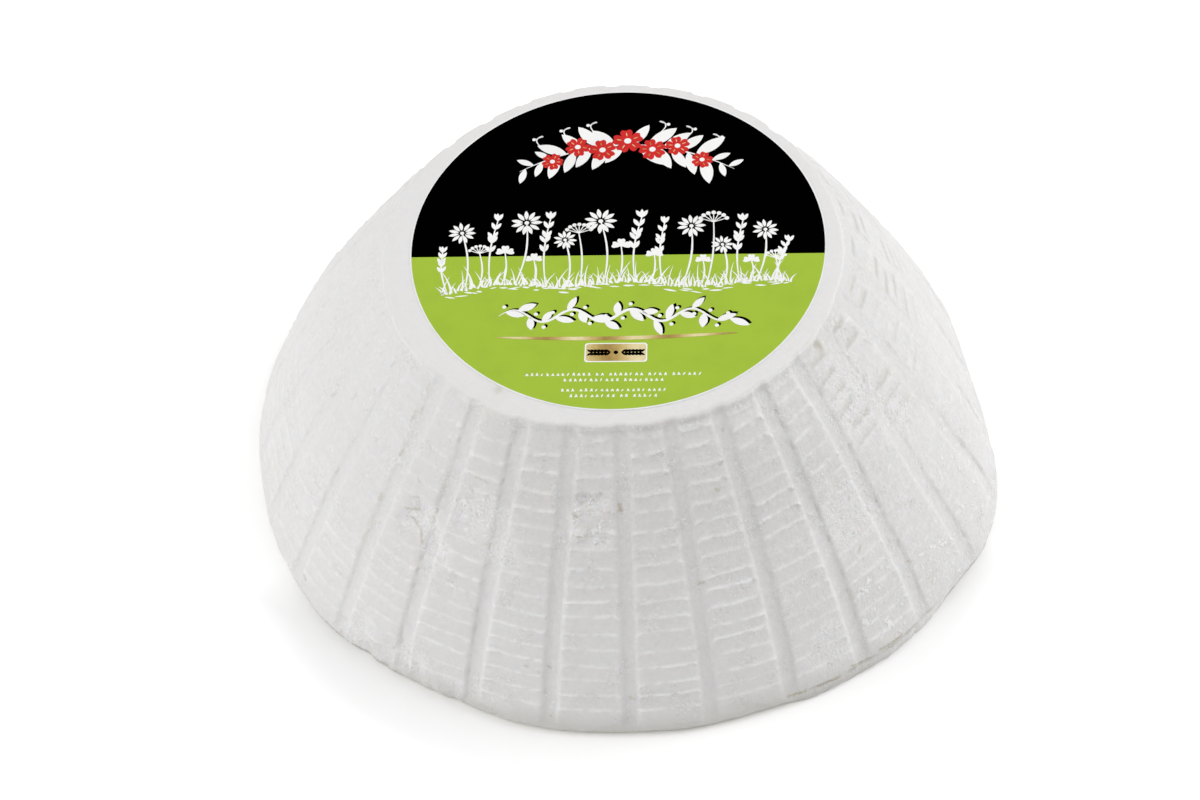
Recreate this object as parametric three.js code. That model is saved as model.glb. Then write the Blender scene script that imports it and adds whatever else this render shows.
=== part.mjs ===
// A moulded ricotta round: a low, fluted cone of fresh cheese with a round label on its flat top.
//
// Lengths are millimetres and +Z is up. The origin is the middle of the flat base.
// Angles are in degrees round the axis, from the front (-Y) towards the right (+X).

import * as THREE from 'three';

// ---------- driving dimensions of the cheese ----------

const BASE_RADIUS = 100;
const TOP_RADIUS = 57.2;
const HEIGHT = 73;

// The side swells out between base and top, more below the middle than above it.
const SIDE_BULGE = 4;
const SIDE_BULGE_SKEW = 0.24;

// The round has sagged a little oval, with its long axis to the front right.
const OVAL_REACH = 1.4;
const OVAL_ANGLE = 68;

// Upright bars of the basket leave smooth grooves with a panel between each two.
const GROOVE_COUNT = 30;
const GROOVE_TURN = -1.5;
const GROOVE_TURN_JITTER = 0.3;
const GROOVE_MOUTH = 5;
const GROOVE_FLOOR = 3.4;
const GROOVE_DEPTH = 1.3;
const GROOVE_FADE_FROM = 3.4;
const GROOVE_FADE_TO = 10;
const GROOVE_TOP = 71.4;

// Slots between the bars leave a ladder of thin rungs across each panel.
const RUNG_COUNT = 16;
const RUNG_FIRST = 11.8;
const RUNG_PITCH = 3.91;
const RUNG_LEDGE = 1.1;
const RUNG_REACH = 0.75;
const RUNG_REACH_JITTER = 0.3;
const RUNG_HEIGHT_JITTER = 0.35;

// The foot spreads where the cheese settled, with a rounded lower edge.
const FOOT_SWELL = 1.3;
const FOOT_SWELL_TOP = 11;

// The rim between the side and the flat top is softly rounded.
const RIM_INSET = 1.5;

// The flat top leans a little, lower at the front and the left. Each number is a rise for one
// millimetre to the right or to the back, and the lean fades out down the side.
const TOP_LEAN = { x: 0.0229, y: 0.0286 };
const LEAN_FROM = 25;

// A thin strip of squeezed curd runs along the base at the front right, with a crack above it.
const STRIP = { from: 18, to: 64, reach: 1, top: 3.3 };
const CRACK = { height: 4.3, depth: 0.9 };

// Wide, shallow waves of the side: outward at the right, worn in just behind that.
// Each is full over the lowest share of its height and fades out at its top.
const WAVE_FULL_SHARE = 0.25;
const HILL_SHARPNESS = 1.2;
const WAVES = [
  { from: 34, to: 84, reach: 2.9, top: 30 },
  { from: 79, to: 111, reach: -2.6, top: 60 },
  { from: -66, to: -24, reach: 0.5, top: 40 },
  { from: -78, to: -36, reach: 1.2, top: 24 },
  { from: -170, to: -120, reach: -1.2, top: 160 },
];

// Torn places, each a shallow hollow of the given width.
const TEARS = [
  { angle: -40.6, height: 41, width: 11, depth: 1.5 },
  { angle: -31, height: 49, width: 14, depth: 0.8 },
  { angle: -9.2, height: 56, width: 9, depth: 1.1 },
  { angle: 42, height: 37, width: 15, depth: 0.7 },
  { angle: 55, height: 57, width: 14, depth: 0.7 },
  { angle: -38, height: 7, width: 15, depth: 1.0 },
];

// ---------- driving dimensions of the label ----------

const LABEL_RADIUS = 52.4;
const LABEL_THICKNESS = 0.3;
const LABEL_OFFSET = { x: 0.35, y: 1.41 };
// A hair's gap is left between the label and the curd that it rests on.
const LABEL_GAP = 0.1;
const LABEL_SIDES = 120;

// ---------- numbers that set the mesh ----------

const SEED = 4127;
const LEAST_ROW_GAP = 0.6;
const RANDOM_STEP = 0x6d2b79f5;
const UINT32_SPAN = 4294967296;

// Rows below and above the ladder: height, and how far the row is drawn in.
const FOOT_ROWS = [
  { height: 0, inset: 1.9 },
  { height: 1.2, inset: 0.7 },
  { height: STRIP.top, inset: 0 },
  { height: CRACK.height, inset: 0 },
  { height: 7.6, inset: 0 },
];
const RIM_ROWS = [
  { height: GROOVE_TOP - 0.3, inset: 0 },
  { height: GROOVE_TOP, inset: 0 },
  { height: HEIGHT - 0.5, inset: RIM_INSET * 0.3 },
  { height: HEIGHT, inset: RIM_INSET },
];

// ---------- small helpers ----------

function seededRandom(seed) {
  let state = seed;
  return function next() {
    state = (state + RANDOM_STEP) | 0;
    let mixed = Math.imul(state ^ (state >>> 15), 1 | state);
    mixed = (mixed + Math.imul(mixed ^ (mixed >>> 7), 61 | mixed)) ^ mixed;
    return ((mixed ^ (mixed >>> 14)) >>> 0) / UINT32_SPAN;
  };
}

function smoothRise(value, from, to) {
  return THREE.MathUtils.smoothstep(value, from, to);
}

function wrapAngle(angle) {
  return THREE.MathUtils.euclideanModulo(angle + 180, 360) - 180;
}

// A smooth hill between two angles: 0 at both ends and 1 in the middle.
function hillBetween(angle, from, to) {
  const share = (wrapAngle(angle) - from) / (to - from);
  if (share <= 0 || share >= 1) {
    return 0;
  }
  return Math.sin(Math.PI * share) ** HILL_SHARPNESS;
}

// ---------- the side of the cheese ----------

// Radius of the plain mould at a height, before anything uneven.
function mouldRadius(height) {
  const share = height / HEIGHT;
  const straight = BASE_RADIUS + (TOP_RADIUS - BASE_RADIUS) * share;
  const swell = 4 * SIDE_BULGE * share * (1 - share);
  return straight + swell * (1 + SIDE_BULGE_SKEW * (1 - 2 * share));
}

function ovalReach(angle, height) {
  const doubled = THREE.MathUtils.degToRad(2 * (angle - OVAL_ANGLE));
  return OVAL_REACH * Math.cos(doubled) * (mouldRadius(height) / BASE_RADIUS);
}

function footReach(height) {
  return FOOT_SWELL * (1 - smoothRise(height, 0, FOOT_SWELL_TOP));
}

function stripReach(angle, height) {
  const along = hillBetween(angle, STRIP.from, STRIP.to);
  if (height <= STRIP.top) {
    return STRIP.reach * along;
  }
  if (height <= CRACK.height) {
    return -CRACK.depth * along;
  }
  return 0;
}

function waveReach(angle, height) {
  let reach = 0;
  for (const wave of WAVES) {
    const upright = 1 - smoothRise(height, wave.top * WAVE_FULL_SHARE, wave.top);
    reach += wave.reach * hillBetween(angle, wave.from, wave.to) * upright;
  }
  return reach;
}

function tearDepth(angle, height) {
  let depth = 0;
  for (const tear of TEARS) {
    const across = THREE.MathUtils.degToRad(wrapAngle(angle - tear.angle)) * mouldRadius(height);
    const distance = Math.hypot(across, height - tear.height);
    depth += tear.depth * (1 - smoothRise(distance, 0, tear.width));
  }
  return depth;
}

// How far a place is lifted by the lean of the top.
function leanLift(x, y, height) {
  return (TOP_LEAN.x * x + TOP_LEAN.y * y) * smoothRise(height, LEAN_FROM, HEIGHT);
}

// Radius of the side at a place, with every uneven reach but not the grooves and rungs.
function sideRadius(angle, height) {
  const outward = ovalReach(angle, height) + footReach(height) + waveReach(angle, height);
  return mouldRadius(height) + outward + stripReach(angle, height) - tearDepth(angle, height);
}

function grooveDepth(height) {
  const below = smoothRise(height, GROOVE_FADE_FROM, GROOVE_FADE_TO);
  return height < GROOVE_TOP ? GROOVE_DEPTH * below : 0;
}

// ---------- rows and columns of the side ----------

// Each rung is a crest with a ledge just above it; the panel then slopes out to the next crest.
function ladderRows() {
  const rows = [];
  for (let rung = 0; rung < RUNG_COUNT; rung += 1) {
    const crest = RUNG_FIRST + rung * RUNG_PITCH;
    rows.push({ height: crest, inset: 0, rung, isCrest: true });
    const ledge = crest + RUNG_LEDGE;
    if (ledge < GROOVE_TOP - LEAST_ROW_GAP) {
      rows.push({ height: ledge, inset: 0, rung, isCrest: false });
    }
  }
  return rows;
}

// Each panel has its own uneven rungs: a shift up or down and a reach outward.
function unevenRungs(random) {
  const panels = [];
  for (let panel = 0; panel < GROOVE_COUNT; panel += 1) {
    const rungs = [];
    for (let rung = 0; rung < RUNG_COUNT; rung += 1) {
      rungs.push({
        shift: RUNG_HEIGHT_JITTER * (2 * random() - 1),
        reach: RUNG_REACH + RUNG_REACH_JITTER * (2 * random() - 1),
      });
    }
    panels.push(rungs);
  }
  return panels;
}

// Four columns a groove: its mouth, its floor, and its mouth again. Panels lie between them.
function grooveColumns(random) {
  const columns = [];
  for (let groove = 0; groove < GROOVE_COUNT; groove += 1) {
    const middle = (360 * groove) / GROOVE_COUNT + GROOVE_TURN;
    const centre = middle + GROOVE_TURN_JITTER * (2 * random() - 1);
    const panelBefore = (groove + GROOVE_COUNT - 1) % GROOVE_COUNT;
    columns.push({ centre, offset: -GROOVE_MOUTH / 2, onFloor: false, panel: panelBefore });
    columns.push({ centre, offset: -GROOVE_FLOOR / 2, onFloor: true, panel: panelBefore });
    columns.push({ centre, offset: GROOVE_FLOOR / 2, onFloor: true, panel: groove });
    columns.push({ centre, offset: GROOVE_MOUTH / 2, onFloor: false, panel: groove });
  }
  return columns;
}

function pointOnSide(row, column, rungs) {
  const uneven = row.rung === undefined ? undefined : rungs[column.panel][row.rung];
  const onLadder = uneven !== undefined && !column.onFloor;
  const height = row.height + (onLadder ? uneven.shift : 0);
  const spread = THREE.MathUtils.radToDeg(column.offset / mouldRadius(height));
  const angle = column.centre + spread;
  let radius = sideRadius(angle, height) - row.inset;
  if (column.onFloor) {
    radius -= grooveDepth(height);
  }
  if (onLadder && row.isCrest) {
    radius += uneven.reach;
  }
  const turn = THREE.MathUtils.degToRad(angle);
  const x = radius * Math.sin(turn);
  const y = -radius * Math.cos(turn);
  return [x, y, height + leanLift(x, y, height)];
}

// ---------- one closed solid from rings of points ----------

function addSideFaces(indices, ringCount, columnCount) {
  for (let ring = 0; ring + 1 < ringCount; ring += 1) {
    for (let column = 0; column < columnCount; column += 1) {
      const next = (column + 1) % columnCount;
      const low = ring * columnCount;
      const high = low + columnCount;
      indices.push(low + column, low + next, high + next);
      indices.push(low + column, high + next, high + column);
    }
  }
}

function addCapFaces(indices, centre, firstOfRing, columnCount, facesUp) {
  for (let column = 0; column < columnCount; column += 1) {
    const here = firstOfRing + column;
    const next = firstOfRing + ((column + 1) % columnCount);
    indices.push(centre, facesUp ? here : next, facesUp ? next : here);
  }
}

function closedGeometry(rings) {
  const columnCount = rings[0].length;
  const positions = rings.flat(2);
  const bottomCentre = rings.length * columnCount;
  const topCentre = bottomCentre + 1;
  const topRing = bottomCentre - columnCount;
  positions.push(0, 0, 0);
  positions.push(0, 0, HEIGHT);
  const indices = [];
  addSideFaces(indices, rings.length, columnCount);
  addCapFaces(indices, bottomCentre, 0, columnCount, false);
  addCapFaces(indices, topCentre, topRing, columnCount, true);
  const geometry = new THREE.BufferGeometry();
  geometry.setAttribute('position', new THREE.Float32BufferAttribute(positions, 3));
  geometry.setIndex(indices);
  geometry.computeVertexNormals();
  return geometry;
}

// ---------- materials ----------

function curdMaterial() {
  return new THREE.MeshStandardMaterial({ color: 0xf1f0ec, roughness: 0.55, metalness: 0 });
}

function labelMaterial() {
  return new THREE.MeshStandardMaterial({ color: 0x9fbf3f, roughness: 0.35, metalness: 0 });
}

// ---------- the pieces ----------

function makeCheese() {
  const random = seededRandom(SEED);
  const rungs = unevenRungs(random);
  const columns = grooveColumns(random);
  const rows = [...FOOT_ROWS, ...ladderRows(), ...RIM_ROWS];
  const rings = rows.map((row) => columns.map((column) => pointOnSide(row, column, rungs)));
  const cheese = new THREE.Mesh(closedGeometry(rings), curdMaterial());
  cheese.name = 'ricotta';
  return cheese;
}

function makeLabel() {
  const outline = new THREE.Shape();
  outline.absarc(0, 0, LABEL_RADIUS, 0, 2 * Math.PI);
  // An arc gets two sides for each curve segment.
  const geometry = new THREE.ExtrudeGeometry(outline, {
    depth: LABEL_THICKNESS,
    bevelEnabled: false,
    curveSegments: LABEL_SIDES / 2,
  });
  const lift = leanLift(LABEL_OFFSET.x, LABEL_OFFSET.y, HEIGHT);
  const lean = new THREE.Matrix4().set(
    1, 0, 0, LABEL_OFFSET.x,
    0, 1, 0, LABEL_OFFSET.y,
    TOP_LEAN.x, TOP_LEAN.y, 1, HEIGHT + lift + LABEL_GAP,
    0, 0, 0, 1,
  );
  geometry.applyMatrix4(lean);
  const label = new THREE.Mesh(geometry, labelMaterial());
  label.name = 'label';
  return label;
}

function makeRicottaRound() {
  const round = new THREE.Group();
  round.add(makeCheese());
  round.add(makeLabel());
  return round;
}

export default makeRicottaRound();
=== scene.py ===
# %% [markdown]
# # A moulded ricotta round
#
# This notebook dresses a low, fluted cone of fresh ricotta. The cheese was drained in a round
# basket and turned out upside down, so its side carries the print of the basket's bars and
# slots, and its flat top carries a round printed label.
#
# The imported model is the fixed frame. Everything here is in metres, with +Z up and the origin
# in the middle of the base. The front of the cheese faces -Y.

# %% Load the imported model
import math
import random

import bmesh
import bpy
from mathutils import Matrix, Vector


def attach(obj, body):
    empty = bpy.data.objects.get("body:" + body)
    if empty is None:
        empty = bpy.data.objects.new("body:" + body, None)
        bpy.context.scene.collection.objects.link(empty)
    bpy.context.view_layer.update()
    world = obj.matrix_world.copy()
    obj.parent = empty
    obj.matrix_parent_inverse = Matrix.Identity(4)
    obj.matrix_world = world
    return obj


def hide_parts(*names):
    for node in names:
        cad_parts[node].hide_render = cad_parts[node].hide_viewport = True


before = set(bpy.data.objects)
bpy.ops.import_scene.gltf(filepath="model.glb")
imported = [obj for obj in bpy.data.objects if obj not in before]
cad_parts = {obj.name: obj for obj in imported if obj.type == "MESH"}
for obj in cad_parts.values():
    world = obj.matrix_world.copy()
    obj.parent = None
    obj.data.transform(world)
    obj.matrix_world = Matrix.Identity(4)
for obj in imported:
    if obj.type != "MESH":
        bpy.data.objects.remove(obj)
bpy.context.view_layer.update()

MM = 0.001
print("nodes in the frame:", sorted(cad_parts))

# %% [markdown]
# ## Sums on node sockets
#
# Both the shape of the cheese and its finish are sums: a radius plus a groove plus a rung, or
# one mask times another. Placing a Math node for each step by hand hides the sum. A small class
# that wraps an output socket and overloads the operators lets the sum be written as a sum, in
# geometry trees and in shader trees alike. One method adds every other kind of node.

# %% A wire
class Wire:
    """One value in a node tree. A sum written with it adds Math nodes."""

    def __init__(self, board, socket):
        self.board = board
        self.socket = socket

    def __add__(self, other):
        return self.board.math("ADD", self, other)

    def __sub__(self, other):
        return self.board.math("SUBTRACT", self, other)

    def __rsub__(self, other):
        return self.board.math("SUBTRACT", other, self)

    def __mul__(self, other):
        return self.board.math("MULTIPLY", self, other)

    def __truediv__(self, other):
        return self.board.math("DIVIDE", self, other)

    def __neg__(self):
        return self.board.math("MULTIPLY", self, -1.0)

    __radd__ = __add__
    __rmul__ = __mul__


print("sums can be written with wires")


# %% The board that wires lie on
# A Mix node has sockets for each type of data. These are the ones for colours.
COLOUR_MIX_INPUTS = (0, 6, 7)
COLOUR_MIX_OUTPUT = 2


class Board:
    """Adds nodes to one tree."""

    def __init__(self, tree):
        self.tree = tree

    def put(self, socket, value):
        """Links a wire to a socket, or sets the socket's own value."""
        if isinstance(value, Wire):
            self.tree.links.new(value.socket, socket)
        elif value is not None:
            socket.default_value = value

    def node(self, kind, settings=None, inputs=None):
        """Adds a node. Its settings come first, then the values or links of its sockets."""
        made = self.tree.nodes.new(kind)
        for name, value in (settings or {}).items():
            if name == "stops":
                set_stops(made.color_ramp, value)
            else:
                setattr(made, name, value)
        for key, value in (inputs or {}).items():
            self.put(made.inputs[key], value)
        return made

    def wire(self, kind, settings=None, inputs=None, output=0):
        """Adds a node and gives one of its outputs as a wire."""
        return Wire(self, self.node(kind, settings, inputs).outputs[output])

    def math(self, operation, *values):
        made = self.node("ShaderNodeMath", {"operation": operation})
        for socket, value in zip(made.inputs, values):
            self.put(socket, value)
        return Wire(self, made.outputs[0])

    def rise(self, value, low, high, kind="SMOOTHSTEP"):
        """0 up to low, 1 from high on, and smooth between them."""
        settings = {"interpolation_type": kind}
        return self.wire("ShaderNodeMapRange", settings,
                         {"Value": value, "From Min": low, "From Max": high})

    def fall(self, value, low, high):
        """1 up to low, 0 from high on, and smooth between them."""
        return 1 - self.rise(value, low, high)

    def band(self, value, starts, full, fades, ends):
        """1 from full to fades, 0 outside starts and ends, and smooth between them."""
        return self.rise(value, starts, full) * self.fall(value, fades, ends)

    def ramp(self, value, low, high):
        """0 up to low, 1 from high on, and straight between them."""
        return self.rise(value, low, high, "LINEAR")

    def noise(self, place, size, detail=2.0, roughness=0.5):
        """Soft noise about 0.5, with lumps of the given size in metres."""
        inputs = {"Vector": place, "Scale": 1 / size, "Detail": detail, "Roughness": roughness}
        return self.wire("ShaderNodeTexNoise", None, inputs)

    def mix_colour(self, factor, first, second):
        inputs = dict(zip(COLOUR_MIX_INPUTS, (factor, first, second)))
        return self.wire("ShaderNodeMix", {"data_type": "RGBA"}, inputs, COLOUR_MIX_OUTPUT)


def set_stops(ramp, stops):
    """Gives a colour ramp its stops: (place, colour) pairs."""
    while len(ramp.elements) < len(stops):
        ramp.elements.new(1.0)
    for element, (place, colour) in zip(ramp.elements, stops):
        element.position = place
        element.color = colour


print("boards are ready")

# %% [markdown]
# ## The camera
#
# A lens sees this cheese from the front and well above, so that the label shows as a wide
# ellipse. The camera is placed by its height angle, its distance and its slight roll, and it
# looks a little past the middle of the base, so nothing has to be shifted in the lens.

# %% Place the camera
CAMERA_HEIGHT_ANGLE = math.radians(51.94)
CAMERA_ROLL = math.radians(-2.96)
CAMERA_DISTANCE = 0.6
AIM_RIGHT = 0.0064
AIM_UP = -0.0064
LENS_MM = 64.77
SENSOR_MM = 36.0


def make_camera():
    level_right = Vector((1, 0, 0))
    level_up = Vector((0, math.sin(CAMERA_HEIGHT_ANGLE), math.cos(CAMERA_HEIGHT_ANGLE)))
    back = level_right.cross(level_up)
    right = math.cos(CAMERA_ROLL) * level_right + math.sin(CAMERA_ROLL) * level_up
    up = back.cross(right)
    data = bpy.data.cameras.new("Camera")
    data.lens = LENS_MM
    data.sensor_width = SENSOR_MM
    camera = bpy.data.objects.new("Camera", data)
    bpy.context.scene.collection.objects.link(camera)
    place = back * CAMERA_DISTANCE - right * AIM_RIGHT - up * AIM_UP
    turn = Matrix((right, up, back)).transposed().to_4x4()
    camera.matrix_world = Matrix.Translation(place) @ turn
    bpy.context.scene.camera = camera
    return camera


camera = make_camera()
print("camera at, mm:", [round(v / MM) for v in camera.matrix_world.translation])

# %% [markdown]
# ## The floor and the light
#
# White food on a white table reads only by soft shading. Two large lamps, one to the left and
# one to the right and a little behind, make the sides and the top edge bright and leave the
# front in gentle shade. A pale sky fills the rest, and painted light, a glow in the floor, lifts
# the shadow further out, so that the only clear shadow is the narrow one where the cheese meets
# the table.

# %% The floor
FLOOR_SIZE = 6.0
FLOOR_DROP = 0.0002
FLOOR_COLOUR = (0.97, 0.97, 0.97, 1.0)
FLOOR_ROUGHNESS = 0.9
FLOOR_SHINE = 0.1

# The floor glows faintly, though it is no lamp: this is painted light that keeps it white and
# paints out the shadow. It glows little in the soft shadow near the cheese, more beyond it, and
# most behind the cheese. The shadow reaches a little further at the front.
GLOW_NEAR = 0.05
GLOW_AWAY = 0.2
GLOW_BEHIND = 0.3
GLOW_STARTS = (104 * MM, 116 * MM)
GLOW_STARTS_BEHIND = (94 * MM, 101 * MM)
GLOW_ENDS = (150 * MM, 190 * MM)

# Behind the cheese means this far back, where the way aside counts for a part.
BEHIND = (-30 * MM, 10 * MM)
BEHIND_STRETCH = (0.5, 1.2)

# The shadow grows this much over this way to the front.
FRONT_SHADOW = (50 * MM, 90 * MM)
FRONT_SHADOW_REACH = 5 * MM


def make_floor():
    half = FLOOR_SIZE / 2
    corners = [(-half, -half), (half, -half), (half, half), (-half, half)]
    mesh = bpy.data.meshes.new("floor")
    mesh.from_pydata([(x, y, -FLOOR_DROP) for x, y in corners], [], [(0, 1, 2, 3)])
    floor = bpy.data.objects.new("floor", mesh)
    bpy.context.scene.collection.objects.link(floor)
    material = bpy.data.materials.new("Pale floor")
    material.use_nodes = True
    shader = material.node_tree.nodes["Principled BSDF"]
    shader.inputs["Base Color"].default_value = FLOOR_COLOUR
    shader.inputs["Roughness"].default_value = FLOOR_ROUGHNESS
    shader.inputs["Specular IOR Level"].default_value = FLOOR_SHINE
    board = Board(material.node_tree)
    place = board.wire("ShaderNodeTexCoord", None, None, "Object")
    spot = board.node("ShaderNodeSeparateXYZ", None, {0: place})
    x, y = Wire(board, spot.outputs["X"]), Wire(board, spot.outputs["Y"])
    away = board.wire("ShaderNodeVectorMath", {"operation": "LENGTH"}, {0: place}, "Value")
    ahead = board.rise(-y, *FRONT_SHADOW) * FRONT_SHADOW_REACH
    apart = board.rise(away - ahead, *GLOW_STARTS)
    sideways = board.math("ABSOLUTE", x) * BEHIND_STRETCH[0]
    behind = board.rise(y * BEHIND_STRETCH[1] + sideways, *BEHIND)
    behind = behind * board.rise(away, *GLOW_STARTS_BEHIND)
    apart = board.math("MAXIMUM", apart, behind * GLOW_BEHIND / GLOW_AWAY)
    apart = apart * board.fall(away, *GLOW_ENDS)
    near, bright = ((glow, glow, glow, 1.0) for glow in (GLOW_NEAR, GLOW_AWAY))
    # Painted light: the floor's glow, dim in the shadow near the cheese and brighter beyond and
    # behind it.
    board.put(shader.inputs["Emission Color"], board.mix_colour(apart, near, bright))
    shader.inputs["Emission Strength"].default_value = 1.0
    mesh.materials.append(material)
    return floor


floor = make_floor()
print("floor:", FLOOR_SIZE, "m wide")

# %% Sky and lamps
SKY_COLOUR = (1.0, 1.0, 1.0, 1.0)
SKY_STRENGTH = 0.39
LEFT_LIGHT = {"angle": -83, "height_angle": 38, "away": 1.4, "size": 1.1, "watts": 8.7}
RIGHT_LIGHT = {"angle": 103, "height_angle": 41, "away": 1.4, "size": 1.2, "watts": 10.3}
TOP_LIGHT = {"angle": 180, "height_angle": 84, "away": 1.3, "size": 2.3, "watts": 2.8}


def make_lamp(name, angle, height_angle, away, size, watts):
    """A round lamp that faces the cheese, placed by its angle round it from the front."""
    turn, rise = math.radians(angle), math.radians(height_angle)
    level = away * math.cos(rise)
    place = (level * math.sin(turn), -level * math.cos(turn), away * math.sin(rise))
    data = bpy.data.lights.new(name, "AREA")
    data.shape = "DISK"
    data.size = size
    data.energy = watts
    lamp = bpy.data.objects.new(name, data)
    lamp.location = place
    lamp.rotation_euler = (-Vector(place)).to_track_quat("-Z", "Y").to_euler()
    bpy.context.scene.collection.objects.link(lamp)
    return lamp


def make_sky():
    world = bpy.data.worlds.new("Soft sky")
    world.use_nodes = True
    background = world.node_tree.nodes["Background"]
    background.inputs["Color"].default_value = SKY_COLOUR
    background.inputs["Strength"].default_value = SKY_STRENGTH
    bpy.context.scene.world = world


make_sky()
make_lamp("Left light", **LEFT_LIGHT)
make_lamp("Right light", **RIGHT_LIGHT)
make_lamp("Top light", **TOP_LIGHT)
bpy.context.scene.view_settings.view_transform = "Standard"
print("sky and", len(bpy.data.lights), "lamps")

# %% [markdown]
# ## The shape of the cheese
#
# The side is a rule, not a sculpture: a cone that swells a little, 30 grooves from the bars of
# the basket, and on each panel a ladder of 16 thin rungs from its slots. It could be modelled
# by hand from one panel and an array, but then every panel would be alike. Geometry Nodes can
# lay a grid of points and move each one by the rule, with its own seeded shift for each panel
# and rung.
#
# The grid's columns run round the cheese, 20 to a groove and its panel, closest together where
# the groove's walls are. Its rows run from the middle of the base, out to the foot, up the side,
# over the rim and in to the middle of the top. The rows of the side are spaced so that each rung
# has a row on its crest.

# %% Sizes of the cheese
BASE_RADIUS = 100 * MM
TOP_RADIUS = 57.2 * MM
HEIGHT = 73 * MM
SIDE_BULGE = 4.0 * MM
SIDE_BULGE_SKEW = 0.24
OVAL_REACH = 1.4 * MM
OVAL_ANGLE = 68.0
GROOVE_COUNT = 30
GROOVE_TURN = -1.5
GROOVE_TURN_JITTER = 0.3
GROOVE_DEPTH = 0.6 * MM
GROOVE_TOP = 71.4 * MM
RUNG_COUNT = 16
RUNG_PITCH = 3.91 * MM
RUNG_REACH = 0.3 * MM
KNOB_REACH = 0.3 * MM
RAIL_REACH = 0.14 * MM
RIM_ROUNDING = 1.1 * MM

# How far the upper side stands in from the plain mould. One share of it grows all the way up,
# and the other comes near the rim.
BACK_SET_IN = 0.9 * MM
FRONT_SET_IN = 2.6 * MM
SET_IN_ALL_UP = 0.6
SET_IN_AT_RIM = 0.4

# The top leans a little: its rise for each metre to the right and to the back.
TOP_LEAN = (0.0229, 0.0286)
LEAN_FROM = 25 * MM

FOOT_SWELL = 0.9 * MM
FOOT_SWELL_TOP = 11 * MM
UNDERCUT = 1.9 * MM
UNDERCUT_TOP = 3 * MM

COLUMNS_PER_PANEL = 20
HALF_PANEL_COLUMNS = COLUMNS_PER_PANEL // 2
BASE_ROWS = 4
RIM_ROWS = 5
TOP_ROWS = 7

# The rows from one rung's crest to the next one, as steps. They are closest at the crests.
ROW_STEPS = [0.26 * MM, 0.3 * MM, 0.79 * MM, 1.21 * MM, 0.79 * MM, 0.3 * MM, 0.26 * MM]
ROWS_PER_RUNG = len(ROW_STEPS)
FIRST_RUNG = 3 * RUNG_PITCH
ROWS_OVER_TOP_RUNG = 2
SIDE_ROWS = (RUNG_COUNT + 2) * ROWS_PER_RUNG + ROWS_OVER_TOP_RUNG
RIM_BOTTOM = (RUNG_COUNT + 2) * RUNG_PITCH + sum(ROW_STEPS[:ROWS_OVER_TOP_RUNG])

# How far from the middle of a groove its first columns lie, as steps of the column number.
GROOVE_STEPS = [1.25 * MM, 0.65 * MM, 0.5 * MM, 0.6 * MM]

column_count = GROOVE_COUNT * COLUMNS_PER_PANEL
row_count = BASE_ROWS + SIDE_ROWS + RIM_ROWS + TOP_ROWS + 1
print("grid:", column_count, "columns,", row_count, "rows")

# %% Waves, tears and the squeezed strip
# Angles are degrees round the axis, from the front towards the right.
# Each wave: its first and last angle, its reach and its top in millimetres.
WAVES = [
    (34, 84, 2.9, 30), (79, 111, -2.6, 60), (-66, -24, 0.5, 40), (-78, -36, 1.2, 24),
    (-115, -65, -0.12, 20), (-16, 34, -1.0, 16), (-170, -120, -1.2, 160), (18, 62, 0.5, 14),
    (38, 62, -1.2, 20), (57, 81, 1.2, 26),
]
# A wave is full up to this share of its top. The power sharpens its hill a little.
WAVE_FULL = 0.25
HILL_POWER = 1.2
STRIP = {"low": 20, "high": 54, "reach": 0.1 * MM, "top": 2.6 * MM}
CRACK = {"height": 3.1 * MM, "half": 0.42 * MM, "depth": 0.6 * MM}

# Each tear: angle, and height, half width and depth in millimetres.
TEARS = [
    (-41.5, 42, 7, 1.5), (-37.0, 36, 6, 0.9), (-31.0, 49, 11, 0.8), (-24.0, 42, 8, 0.5),
    (-9.2, 56, 6, 1.2), (-6.5, 50, 5, 0.6), (42.0, 37, 13, 0.6), (55.0, 57, 13, 0.6),
    (-46.0, 5, 9, 0.9), (-38.0, 6, 10, 1.0), (-31.0, 4, 8, 0.7), (62.0, 45, 9, 0.6),
    (83.0, 8, 8, 0.4), (-22.0, 4, 6, 0.4), (-42.0, 3, 7, 0.8), (-34.5, 3, 8, 1.0),
    (-27.0, 3, 7, 0.7), (30.0, 12, 9, 0.3), (-10.9, 54, 3, -1.1), (-10.3, 50.5, 2.6, -0.8),
]
# Shares of a tear's width: how ragged its edge is, and where its full depth ends. Its middle
# lies on the side, which bulges by this share of the whole bulge.
TEAR_RAGGED = 1.3
TEAR_FULL = 0.25
TEAR_BULGE = 0.8
print(len(TEARS), "torn places,", len(WAVES), "waves")
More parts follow.
